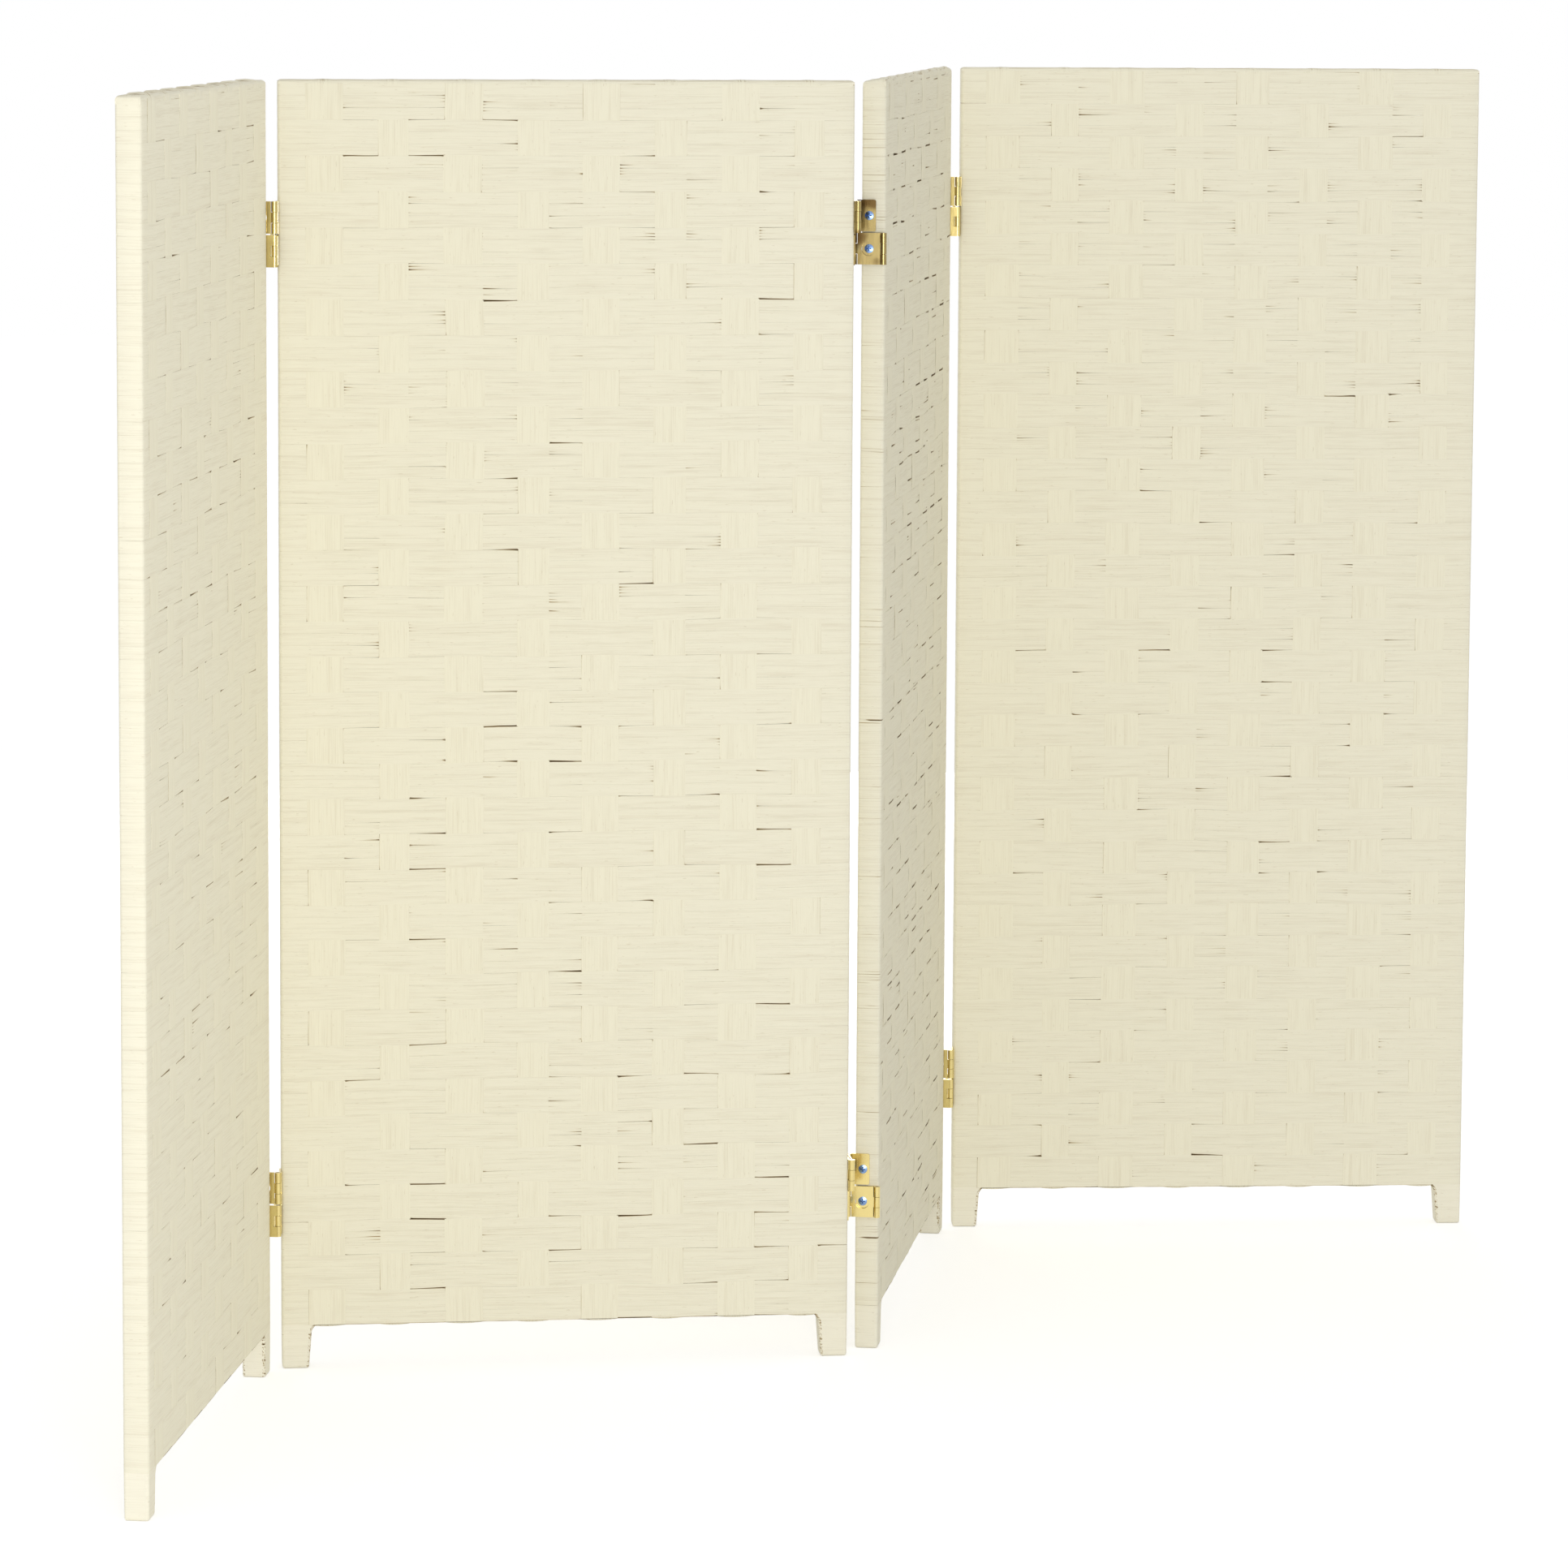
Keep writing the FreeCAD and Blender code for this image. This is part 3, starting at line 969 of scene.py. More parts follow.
class FibreLoops:
    """Closed loops of flat fibre, each a ring that is laid along its own path, joined into one piece."""

    def __init__(self, stations: int, section: int) -> None:
        """Makes the ring that every loop starts from.

        Args:
            stations: How many sections a loop has.
            section: How many points a section has.
        """
        self.laid: list[bpy.types.Object] = []
        deselect_all()
        bpy.ops.mesh.primitive_torus_add(
            major_segments=stations, minor_segments=section, generate_uvs=True
        )
        self.ring = bpy.context.object
        for mark in Mark:
            self.ring.data.attributes.new(mark.value, "FLOAT", "POINT")
        faces = corner_vertices(self.ring.data).reshape(-1, 4)
        self.corner_station = self._counted_on(faces // section, stations)
        self.corner_point = self._counted_on(faces % section, section)

    @staticmethod
    def _counted_on(index: np.ndarray, count: int) -> np.ndarray:
        """Numbers the closing faces' far corners on past the last one, so that a pattern runs on there.

        Args:
            index: The number of each corner's section or point, with a row for each face.
            count: How many there are round the loop.

        Returns:
            The numbers in one row.
        """
        closes = np.ptp(index, axis=1) > 1
        return np.where(closes[:, None] & (index == 0), count, index).ravel()

    def lay(
        self, points: np.ndarray, along: np.ndarray, across: np.ndarray, tuck_and_shade: np.ndarray, shade: np.ndarray
    ) -> None:
        """Lays one loop.

        Args:
            points: The section's points at each station, in metres in the shared frame.
            along: The length at each station and at the close.
            across: The place across the fibre of each point of a section.
            tuck_and_shade: The tuck mark of each point.
            shade: How dark each point's strand is.
        """
        loop = self.ring.copy()
        loop.data = self.ring.data.copy()
        bpy.context.collection.objects.link(loop)
        loop.data.vertices.foreach_set("co", points.astype(np.float32).ravel())
        set_mark(loop.data, Mark.TUCK_AND_SHADE, tuck_and_shade)
        set_mark(loop.data, Mark.SHADE, shade)
        closed = np.append(across, across[0])
        set_lay(loop.data, np.column_stack((along[self.corner_station], closed[self.corner_point])) * MM)
        self.laid.append(loop)

    def joined(self, name: str) -> bpy.types.Object:
        """Joins the loops into one piece with even normals.

        Args:
            name: The piece's name.

        Returns:
            The piece.
        """
        bpy.data.meshes.remove(self.ring.data)
        make_active(self.laid[0])
        for loop in self.laid:
            loop.select_set(True)
        bpy.ops.object.join()
        piece = bpy.context.object
        piece.name = name
        piece.data.name = name
        bpy.ops.object.mode_set(mode="EDIT")
        bpy.ops.mesh.select_all(action="SELECT")
        bpy.ops.mesh.normals_make_consistent(inside=False)
        bpy.ops.object.mode_set(mode="OBJECT")
        bpy.ops.object.shade_smooth_by_angle(angle=SOFT_EDGE)
        return piece


@dataclass(frozen=True)
class SlitHabits:
    """How strands part on a panel of usual weave.

    Attributes:
        chances: How often they part between rows, between ribbons and within a ribbon.
        widths: How wide they part there at most.
        least_width: The narrowest slit, as a share of the widest.
        width_skew: How much more often slits are narrow than wide.
        edge_chance: How much less often strands part beside the panel's upright edges.
        edge_width: How much narrower they part there.
        reach: The shortest and the longest slit, in widths of the gap between two warps.
        long_chance: How often a slit is a long one.
        long_reach: How much longer it then is.
        pit_skew: How much more often the pits beside warps are small than large.
        pit_reach: How close to a warp a pit lies, in widths of the gap.
        upper_part: The rows from the top that count as upper ones, as one part in so many.
        bunch_chance: How often slits lie in a bunch.
        bunch_width: The narrowest and the widest slit of a bunch.
        bunch_lines: The fewest slits in a bunch, and one more than the most.
        bunch_clear: How many lines a bunch starts before the next row, at least.
    """

    chances: tuple[float, float, float] = (0.5, 0.1, 0.03)
    widths: tuple[float, float, float] = (0.5, 0.28, 0.22)
    least_width: float = 0.15
    width_skew: float = 1.6
    edge_chance: float = 0.15
    edge_width: float = 0.6
    reach: Pair = (0.4, 1.2)
    long_chance: float = 0.6
    long_reach: float = 3.2
    pit_skew: float = 1.5
    pit_reach: float = 0.02
    upper_part: int = 3
    bunch_chance: float = 0.16
    bunch_width: Pair = (0.07, 0.2)
    bunch_lines: tuple[int, int] = (2, 6)
    bunch_clear: int = 4


@dataclass(frozen=True)
class CoverMarks:
    """How dark a cover's tuck marks and shades are.

    Attributes:
        groove: The lines between strands, at most.
        last_line: The line at the bottom of the last row.
        strand_shade: The spread of the wefts' shades.
        full_slit: The width of slit that is marked in full.
        under_warp: Wefts where a warp hides them: bare fibre, which shows as painted shade beside the warp's
            edges.
        weft_inside: The inner side of a weft.
        edge_fade: How fast the lines on the upright edges fade towards the faces.
        warp_line: The lines between a warp's strands, from the palest to the darkest.
        warp_dark_line: What is added to a few of those lines.
        warp_dark_lines: How many of them.
        warp_shade: The spread of the warps' shades.
        warp_left: A warp's left edge, at most.
        warp_right: A warp's right edge, at most.
        rim_edges: Painted shade added to its two edges on the rims, as dark crescents beside its humps.
        top_edge: Painted shade added to its leftmost points on the top rim.
        top: Painted shade added to its other points there.
        hem: What is added to it at the hem under the last row.
        hem_width: How far the hem reaches in from the faces.
        under_weft: Warps where a weft hides them: bare fibre, which shows as painted shade beside the weft's
            edges.
        warp_inside: The inner side of a warp.
        fold_hem: The edge of a folded strip, from the palest to the darkest.
        fold_hem_width: How wide that edge is.
        fold_top: Painted shade on the upper side of the top strip, between the warps' humps.
        fold_top_depth: How far down that side reaches.
        fold: The rest of a strip.
    """

    groove: float = 0.35
    last_line: float = 0.85
    strand_shade: float = 0.4
    full_slit: float = 0.28
    under_warp: float = 0.6
    weft_inside: float = 1.0
    edge_fade: int = 4
    warp_line: Pair = (0.02, 0.12)
    warp_dark_line: float = 0.12
    warp_dark_lines: int = 2
    warp_shade: float = 0.35
    warp_left: float = 0.72
    warp_right: float = 0.55
    rim_edges: Pair = (0.3, 0.7)
    top_edge: tuple[float, ...] = (0.9, 0.8, 0.65)
    top: float = 0.48
    hem: float = 0.5
    hem_width: float = 2.0
    under_weft: float = 0.9
    warp_inside: float = 0.9
    fold_hem: Pair = (0.25, 0.9)
    fold_hem_width: float = 0.7
    fold_top: float = 0.52
    fold_top_depth: float = 0.8
    fold: float = 0.12


@dataclass(frozen=True)
class FoldSizes:
    """The sizes of a strip of fibre that is folded over a rail.

    Attributes:
        edge: The height of its outer side.
        depth: How far it reaches up or down the panel.
        inset: How far its ends lie from the panel's upright edges.
        reach: How far its sides lie from mid-thickness.
        corner: The radius of its corners, at most.
        corner_steps: How many flats make a corner.
        least_side: What a corner leaves of its sides, at least.
        cut_step: How far apart the cuts are that let it sag.
        sag: How far it sags or rises between them, at most.
        sag_depth: How far down from its outer side it sags.
        wall: Its thickness.
    """

    edge: float
    depth: float
    inset: float
    reach: float
    corner: float = 3.4
    corner_steps: int = 4
    least_side: float = 0.9
    cut_step: float = 9.0
    sag: float = 0.12
    sag_depth: float = 0.4
    wall: float = 0.6


@dataclass
class WovenCover:
    """The fibre cover of one panel: level wefts woven over and under upright warps, round the whole frame.

    A dive lists how far outside an edge a station lies, and its level there. The pattern values set each row,
    strand and warp on a part of the strand pattern of its own. The last fields are drawn for each panel.
    """

    place: PanelPlace
    sizes: PanelSizes = PanelSizes()
    weaving: Weaving = Weaving()
    slits: SlitHabits = SlitHabits()
    marks: CoverMarks = CoverMarks()
    seed: int = 40
    rows: int = 35
    ribbons: int = 3
    strands: int = 4
    bottom_line: float = 34.6
    end_rise: float = 1.7
    warps: int = 8
    first_warp: float = 35.6
    warp_strands: int = 10
    wide_warp: float = 29.2
    narrow_warp: float = 24.4
    warp_shift: float = 0.5
    width_spread: float = 0.9
    outer_level: float = 9.45
    inner_level: float = 9.15
    warp_proud: float = 0.05
    corner: float = 2.2
    rim_corner: float = 3.0
    edge_inset: float = 0.06
    weft_thickness: float = 0.4
    warp_thickness: float = 0.4
    ridge: float = 0.05
    slit_depth: float = 0.9
    edge_drop: float = 0.08
    ribbon_crown: float = 0.04
    band_crown: float = 0.05
    warp_crown: float = 0.06
    warp_ridge: float = 0.03
    warp_edge_drop: float = 0.06
    warp_wall: float = 0.1
    rim_crown: float = 0.9
    hump_crown: float = 0.35
    bottom_hump: float = 0.1
    hump_shoulder: float = 0.6
    pillow: float = 0.9
    float_bulge: float = 0.2
    seam: float = 0.05
    row_wander: float = 0.4
    strand_wander: float = 0.12
    warp_sway: float = 0.35
    width_wander: float = 0.3
    margin_share: float = 0.45
    over_inset: float = 1.2
    over_level: float = 1.05
    weft_dive: tuple[Pair, ...] = ((8.0, 1.0), (3.0, 0.8), (EDGE_HAIR, 0.45), (-1.2, 0.12))
    warp_dive: tuple[Pair, ...] = ((0.4, 0.5), (3.4, 0.92))
    fold_overlap: float = 0.6
    fold_clearance: float = 0.3
    row_pattern: float = 613.0
    strand_pattern: float = 2.33
    warp_pattern: float = 917.0
    warp_pattern_across: float = 90.0
    inside_pattern: Pair = (1.1, -0.1)
    rng: np.random.Generator = field(init=False)
    centres: np.ndarray = field(init=False)
    widths: np.ndarray = field(init=False)
    edges: np.ndarray = field(init=False)
    top_line: float = field(init=False)
    row_strands: int = field(init=False)
    line_wander: list[Wander] = field(init=False)
    ribbon_wander: list[Wander] = field(init=False)
    groove_tone: np.ndarray = field(init=False)
    strand_shade: np.ndarray = field(init=False)
    slit_size: np.ndarray = field(init=False)
    slit_centre: np.ndarray = field(init=False)
    slit_reach: np.ndarray = field(init=False)
    slit_pit: np.ndarray = field(init=False)

    def __post_init__(self) -> None:
        """Draws what differs from panel to panel."""
        self.rng = np.random.default_rng(self.seed + self.place.number)
        last_warp = self.sizes.width - self.first_warp
        self.centres = np.linspace(self.first_warp, last_warp, self.warps)
        self.centres = self.centres + self.rng.normal(0.0, self.warp_shift, self.warps)
        self.widths = np.where(np.arange(self.warps) % 2 == 0, self.wide_warp, self.narrow_warp)
        self.widths = self.widths + self.rng.normal(0.0, self.width_spread, self.warps)
        edges = np.stack((self.centres - self.widths / 2.0, self.centres + self.widths / 2.0), axis=1)
        self.edges = np.concatenate(((0.0,), edges.ravel(), (self.sizes.width,)))
        self.top_line = self.sizes.height - self.weaving.top_strip
        self.row_strands = self.ribbons * self.strands
        lines = self.rows * self.row_strands + 1
        seams = self.rows * self.ribbons + 1
        self.line_wander = [Wander(self.rng, self.row_wander) for _ in range(self.rows + 1)]
        self.ribbon_wander = [Wander(self.rng, self.strand_wander) for _ in range(seams)]
        self.groove_tone = self.marks.groove * self.rng.random(lines) ** 2
        self.groove_tone[-1] = self.marks.last_line
        self.strand_shade = self.rng.normal(0.0, self.marks.strand_shade, lines)
        self._draw_slits(lines)

    def _draw_slits(self, lines: int) -> None:
        """Draws where the strands part: often between rows, less often within one, and sometimes in bunches.

        Args:
            lines: How many lines between strands the panel has, its first and last edges included.
        """
        habits = self.slits
        columns = 2 * (self.warps + 1)
        shape = (lines, columns)
        line = np.arange(lines)
        kinds = (line % self.row_strands == 0, line % self.strands == 0)
        chance = np.select(kinds, habits.chances[:2], habits.chances[2]) * self.weaving.slit_share
        upper = line < lines // habits.upper_part
        chance = np.where(upper, chance / self.weaving.top_bunches, chance)
        largest = np.select(kinds, habits.widths[:2], habits.widths[2]) * self.weaving.slit_width
        at_edge = np.isin(np.arange(columns) % (self.warps + 1), (0, self.warps))
        there = self.rng.random(shape) < chance[:, None] * np.where(at_edge, habits.edge_chance, 1.0)
        spread = self.rng.random(shape) ** habits.width_skew
        width = habits.least_width + (1.0 - habits.least_width) * spread
        self.slit_size = there * largest[:, None] * width * np.where(at_edge, habits.edge_width, 1.0)
        self.slit_centre = self.rng.integers(0, 2, shape).astype(float)
        long = self.rng.random(shape) < habits.long_chance
        self.slit_reach = self.rng.uniform(*habits.reach, shape) * np.where(long, habits.long_reach, 1.0)
        self.slit_pit = self.rng.uniform(0.0, 1.0, shape) ** habits.pit_skew * self.weaving.pit
        self._draw_bunches(at_edge)

    def _draw_bunches(self, at_edge: np.ndarray) -> None:
        """Draws where fine slits lie in bunches, over the slits that are already there.

        Args:
            at_edge: Tells which columns lie beside the panel's upright edges, where there are no bunches.
        """
        habits = self.slits
        in_upper = np.arange(self.rows) < self.rows // habits.upper_part
        upper = np.where(in_upper, self.weaving.top_bunches, 1.0)
        chance = habits.bunch_chance * self.weaving.bunch_share * np.outer(upper, ~at_edge)
        bunched = self.rng.random(chance.shape) < chance
        for row, column in np.argwhere(bunched):
            first = row * self.row_strands
            first = first + self.rng.integers(1, self.row_strands - habits.bunch_clear)
            bunch = np.s_[first : first + self.rng.integers(*habits.bunch_lines), column]
            count = self.slit_size[bunch].shape
            self.slit_size[bunch] = self.rng.uniform(*habits.bunch_width, count)
            self.slit_centre[bunch] = self.rng.integers(0, 2)
            self.slit_reach[bunch] = self.rng.uniform(*habits.reach, count)
            self.slit_pit[bunch] = 0.0

    def opening(self, line: int, path: Path) -> np.ndarray:
        """Gives how far the strands part on a line.

        Args:
            line: The line's number, from the top.
            path: The stations.

        Returns:
            The opening at each station.
        """
        size = self.slit_size[line][path.column]
        off = np.abs(path.share - self.slit_centre[line][path.column])
        open_share = np.clip(1.0 - off / self.slit_reach[line][path.column], 0.0, 1.0)
        pit = np.where(off < self.slits.pit_reach, self.slit_pit[line][path.column], 0.0)
        return np.where(path.column == NO_COLUMN, 0.0, size * (open_share + pit))

    def line_height(self, line: int, turn: np.ndarray) -> np.ndarray:
        """Gives the height of a line between strands.

        Args:
            line: The line's number, from the top.
            turn: How far round the panel each point is.

        Returns:
            The height at each point.
        """
        step = (self.top_line - self.bottom_line) / (self.rows * self.row_strands)
        row, rest = divmod(line, self.row_strands)
        share = rest / self.row_strands
        wander = self.line_wander[row].at(turn) * (1.0 - share)
        if rest:
            wander = wander + self.line_wander[row + 1].at(turn) * share
            wander = wander + self.ribbon_wander[line // self.strands].at(turn)
        at_rim = line == 0 or line == self.rows * self.row_strands
        return self.top_line - step * line + wander * (0.0 if at_rim else 1.0)

    def weft_over(self, row: int, warp: int, face: Face) -> bool:
        """Tells whether a row passes over a warp. The two faces take turns."""
        return (row + warp + (face is Face.FRONT)) % 2 == 0

    def weft_face(self, row: int, face: Face) -> tuple[np.ndarray, np.ndarray]:
        """Sets a row out along one face.

        Args:
            row: The row's number, from the top.
            face: The face.

        Returns:
            The x and the level at each station, from left to right.
        """
        bulge = self.float_bulge * self.weaving.bulge
        margin = self.edges[1] * self.margin_share
        stops = [(self.corner, 1.0), (margin, 1.0)]
        for warp in range(self.warps):
            left, right = self.edges[1 + 2 * warp : 3 + 2 * warp]
            centre = (left + right) / 2.0
            if self.weft_over(row, warp, face):
                stops += [(left - EDGE_HAIR, 1.0), (left + self.over_inset, self.over_level)]
                stops.append((centre, 1.0 + bulge))
                stops += [(right - self.over_inset, self.over_level), (right + EDGE_HAIR, 1.0)]
            else:
                stops += [(left - out, level) for out, level in self.weft_dive]
                stops.append((centre, 0.0))
                stops += [(right + out, level) for out, level in reversed(self.weft_dive)]
            if warp + 1 < self.warps:
                stops.append(((right + self.edges[3 + 2 * warp]) / 2.0, 1.0 + bulge / 2.0))
        stops += [(self.sizes.width - margin, 1.0), (self.sizes.width - self.corner, 1.0)]
        x, level = np.array(stops).T
        return x, level

    def weft_side(self, side: Side) -> tuple[np.ndarray, np.ndarray]:
        """Sets a row out round one upright edge.

        Args:
            side: The edge.

        Returns:
            The x and y of each station, and its outward direction.
        """
        sign = side.value
        middle = self.sizes.width / 2.0 + sign * (self.sizes.width / 2.0 - self.corner)
        flat = self.outer_level - self.corner
        bow = self.corner * DIAGONAL
        edge = middle + sign * (self.corner - self.edge_inset)
        place = [(middle + sign * bow, -sign * (flat + bow)), (edge, -sign * flat), (edge, 0.0)]
        place += [(x, -y) for x, y in reversed(place[:2])]
        lean = sign * DIAGONAL
        outward = [(lean, -lean), *[(sign, 0.0)] * 3, (lean, lean)]
        return np.array(place), np.array(outward)

    def weft_path(self, row: int) -> Path:
        """Sets a row out round the whole panel: front, right edge, back, left edge.

        Args:
            row: The row's number, from the top.

        Returns:
            The stations.
        """
        places: list[np.ndarray] = []
        outwards: list[np.ndarray] = []
        levels: list[np.ndarray] = []
        for face, side in ((Face.FRONT, Side.RIGHT), (Face.BACK, Side.LEFT)):
            x, level = self.weft_face(row, face)
            if face is Face.BACK:
                x, level = x[::-1], level[::-1]
            reach = self.inner_level + level * (self.outer_level - self.inner_level)
            edge_place, edge_outward = self.weft_side(side)
            places += [np.column_stack((x, face.value * reach)), edge_place]
            outwards += [np.tile((0.0, float(face.value)), (len(x), 1)), edge_outward]
            levels += [level, np.ones(len(edge_place))]
        place = np.vstack(places)
        x, y = place.T
        stretch = np.clip(np.searchsorted(self.edges, x, side="right") - 1, 0, len(self.edges) - 2)
        share = (x - self.edges[stretch]) / (self.edges[stretch + 1] - self.edges[stretch])
        column = stretch // 2 + np.where(y > 0.0, self.warps + 1, 0)
        column = np.where(stretch % 2 == 1, NO_COLUMN, column)
        from_edge = np.minimum(x, self.sizes.width - x)
        end = np.clip(1.0 - from_edge / self.edges[1], 0.0, 1.0)
        return Path(place, np.vstack(outwards), np.concatenate(levels), column, share, end)

    def lay_weft(self, loops: FibreLoops, row: int) -> None:
        """Lays one row's ribbons.

        Args:
            loops: The loops that the ribbons join.
            row: The row's number, from the top.
        """
        path = self.weft_path(row)
        turn = path.turn
        share = np.linspace(0.0, 1.0, 2 * self.strands + 1)
        inside = np.full((len(turn), 2), self.marks.weft_inside)
        edge_tone = 1.0 + self.weaving.edge_lines * path.end ** self.marks.edge_fade
        for ribbon in range(self.ribbons):
            first = row * self.row_strands + ribbon * self.strands
            last = first + self.strands
            gaps = [self.opening(line, path) for line in range(first, last + 1)]
            top = self.line_height(first, turn) - (gaps[0] + self.seam) / 2.0
            low = self.line_height(last, turn) + (gaps[-1] + self.seam) / 2.0
            if first == 0:
                top = top + self.end_rise * np.sqrt(path.end)
            heights = top[:, None] * (1.0 - share) + low[:, None] * share
            band = (ribbon + share) / self.ribbons
            rise = -self.ribbon_crown * (2.0 * share - 1.0) ** 2 - self.band_crown * (2.0 * band - 1.0) ** 4
            rise = np.tile(rise, (len(turn), 1))
            tuck_and_shade = np.zeros_like(rise)
            for strand, gap in enumerate(gaps):
                at_edge = strand in (0, self.strands)
                parted = np.clip(gap / self.marks.full_slit, 0.0, 1.0)
                rise[:, 2 * strand] -= self.edge_drop if at_edge else self.ridge + self.slit_depth * gap
                tuck_and_shade[:, 2 * strand] = self.groove_tone[first + strand] * edge_tone + parted
            # Bare fibre where a warp hides the weft, which also paints shade where it shows beside the warp's
            # edges.
            tuck_and_shade += (path.hidden * self.marks.under_warp)[:, None]
            offset = np.hstack((rise, np.full((len(turn), 2), -self.weft_thickness)))
            height = np.hstack((heights, low[:, None], top[:, None]))
            flat = path.place[:, None, :] + path.outward[:, None, :] * offset[:, :, None]
            spots = np.concatenate((flat, height[:, :, None]), axis=2)
            shade = np.repeat(self.strand_shade[first:last], 2)
            shade = np.concatenate((shade, shade[-1:], (0.0, 0.0)))
            across = np.concatenate((share, self.inside_pattern)) * self.strands * self.strand_pattern
            loops.lay(
                self.place.in_frame(spots),
                path.along + self.row_pattern * row,
                across + first * self.strand_pattern,
                np.hstack((tuck_and_shade, inside)),
                np.tile(shade, (len(turn), 1)),
            )

    def build_wefts(self) -> list[bpy.types.Object]:
        """Weaves the level rows.

        Returns:
            The upper and the lower rows, as two pieces.
        """
        stations = len(self.weft_path(0).turn)
        section = 2 * self.strands + 3
        middle = (self.rows + 1) // 2
        pieces = []
        for name, rows in (("upper", range(middle)), ("lower", range(middle, self.rows))):
            loops = FibreLoops(stations, section)
            for row in rows:
                self.lay_weft(loops, row)
            pieces.append(loops.joined(f"panel_{self.place.number}_{name}_wefts"))
        return pieces

    def warp_face(self, warp: int, face: Face) -> list[Pair]:
        """Sets a warp out up one face.

        Args:
            warp: The warp's number, from the left.
            face: The face.

        Returns:
            The height and level of each station, from the bottom up.
        """
        loop_length = 2.0 * (self.sizes.width + 2.0 * self.outer_level)
        position = self.centres[warp]
        if face is Face.BACK:
            position = loop_length - 2.0 * self.outer_level - position
        turn = np.array((position / loop_length,))
        stops: list[Pair] = []
        for row in reversed(range(self.rows)):
            low = float(self.line_height((row + 1) * self.row_strands, turn)[0])
            top = float(self.line_height(row * self.row_strands, turn)[0])
            middle = (low + top) / 2.0
            if self.weft_over(row, warp, face):
                stops.append((middle, 0.0))
                continue
            free_low = row == self.rows - 1
            free_top = row == 0
            stops += [(low + out, 1.0 if free_low else level) for out, level in self.warp_dive]
            stops.append((middle, 1.0 + self.float_bulge * self.weaving.bulge))
            stops += [(top - out, 1.0 if free_top else level) for out, level in reversed(self.warp_dive)]
        return stops

    def warp_rim(self, rim: Rim) -> tuple[np.ndarray, np.ndarray]:
        """Sets a warp out over the top rail or under the bottom rail, from front to back.

        Args:
            rim: The rail.

        Returns:
            The y and z of each station, and its outward direction.
        """
        sign = rim.value
        edge = self.sizes.height if rim is Rim.TOP else self.sizes.foot_height
        hump = self.weaving.top_hump if rim is Rim.TOP else self.bottom_hump
        flat = self.outer_level - self.rim_corner
        middle = edge - sign * self.rim_corner
        bow = self.rim_corner * DIAGONAL
        half = [(-flat - self.rim_corner, middle), (-flat - bow, middle + sign * bow)]
        half.append((-flat, edge + sign * hump * self.hump_shoulder))
        place = np.array([*half, (0.0, edge + sign * hump), *[(-y, z) for y, z in reversed(half)]])
        lean = [(-1.0, 0.0), (-DIAGONAL, sign * DIAGONAL), (0.0, sign)]
        outward = [*lean, (0.0, sign), *[(-y, z) for y, z in reversed(lean)]]
        if rim is Rim.TOP:
            place[1:-1, 1] += self.top_lean(place[1:-1, 0])
        return place, np.array(outward, dtype=float)

    def top_lean(self, y: np.ndarray) -> np.ndarray:
        """Gives how far the top rim is raised or lowered, from front to back."""
        share = np.clip(y / self.outer_level, -1.0, 1.0)
        return np.where(share < 0.0, -share * self.weaving.top_swell, -share * self.weaving.top_sink)

    def warp_path(self, warp: int) -> Path:
        """Sets a warp out round the whole panel: up the front, over the top, down the back, under the bottom.

        Args:
            warp: The warp's number, from the left.

        Returns:
            The stations.
        """
        places: list[np.ndarray] = []
        outwards: list[np.ndarray] = []
        levels: list[np.ndarray] = []
        ends: list[float] = []
        for face, rim in ((Face.FRONT, Rim.TOP), (Face.BACK, Rim.BOTTOM)):
            height, level = np.array(self.warp_face(warp, face)).T
            if face is Face.BACK:
                height, level = height[::-1], level[::-1]
            outside = self.outer_level + self.warp_proud
            reach = self.inner_level + level * (outside - self.inner_level)
            rim_place, rim_outward = self.warp_rim(rim)
            if rim is Rim.BOTTOM:
                rim_place, rim_outward = rim_place[::-1], rim_outward[::-1]
            places += [np.column_stack((face.value * reach, height)), rim_place]
            outwards += [np.tile((float(face.value), 0.0), (len(height), 1)), rim_outward]
            levels += [level, np.ones(len(rim_place))]
            ends += [0.0] * len(height) + [0.0] + [1.0] * (len(rim_place) - 2) + [0.0]
        place = np.vstack(places)
        none = np.full(len(place), NO_COLUMN)
        zero = np.zeros(len(place))
        return Path(place, np.vstack(outwards), np.concatenate(levels), none, zero, np.array(ends))

    def lay_warp(self, loops: FibreLoops, warp: int) -> None:
        """Lays one warp.

        Args:
            loops: The loops that the warp joins.
            warp: The warp's number, from the left.
        """
        path = self.warp_path(warp)
        turn = path.turn
        share = np.linspace(0.0, 1.0, 2 * self.warp_strands + 1)
        sway = Wander(self.rng, self.warp_sway).at(turn)
        width = self.widths[warp] + Wander(self.rng, self.width_wander).at(turn)
        tone = self.rng.uniform(*self.marks.warp_line, self.warp_strands + 1)
        tone[self.rng.integers(1, self.warp_strands, self.marks.warp_dark_lines)] += self.marks.warp_dark_line
        shade = np.repeat(self.rng.normal(0.0, self.marks.warp_shade, self.warp_strands), 2)
        shade = np.concatenate((shade, shade[-1:], (0.0, 0.0)))
        at_top = path.end * (path.place[:, 1] > self.bottom_line)
        swell = np.clip(path.level - 1.0, 0.0, None) * (self.outer_level - self.inner_level)
        top_crown = max(self.rim_crown, self.weaving.top_hump + self.hump_crown)
        crown = np.where(at_top > 0.0, top_crown, self.rim_crown)
        droop = self.warp_crown + crown * path.end + self.pillow * swell
        rise = -droop[:, None] * (2.0 * share - 1.0) ** 2
        rise[:, ::2] -= self.warp_ridge
        rise[:, [0, -1]] -= self.warp_edge_drop
        inside = np.minimum(rise[:, [-1, 0]] - self.warp_wall, -self.warp_thickness)
        offset = np.hstack((rise, inside))
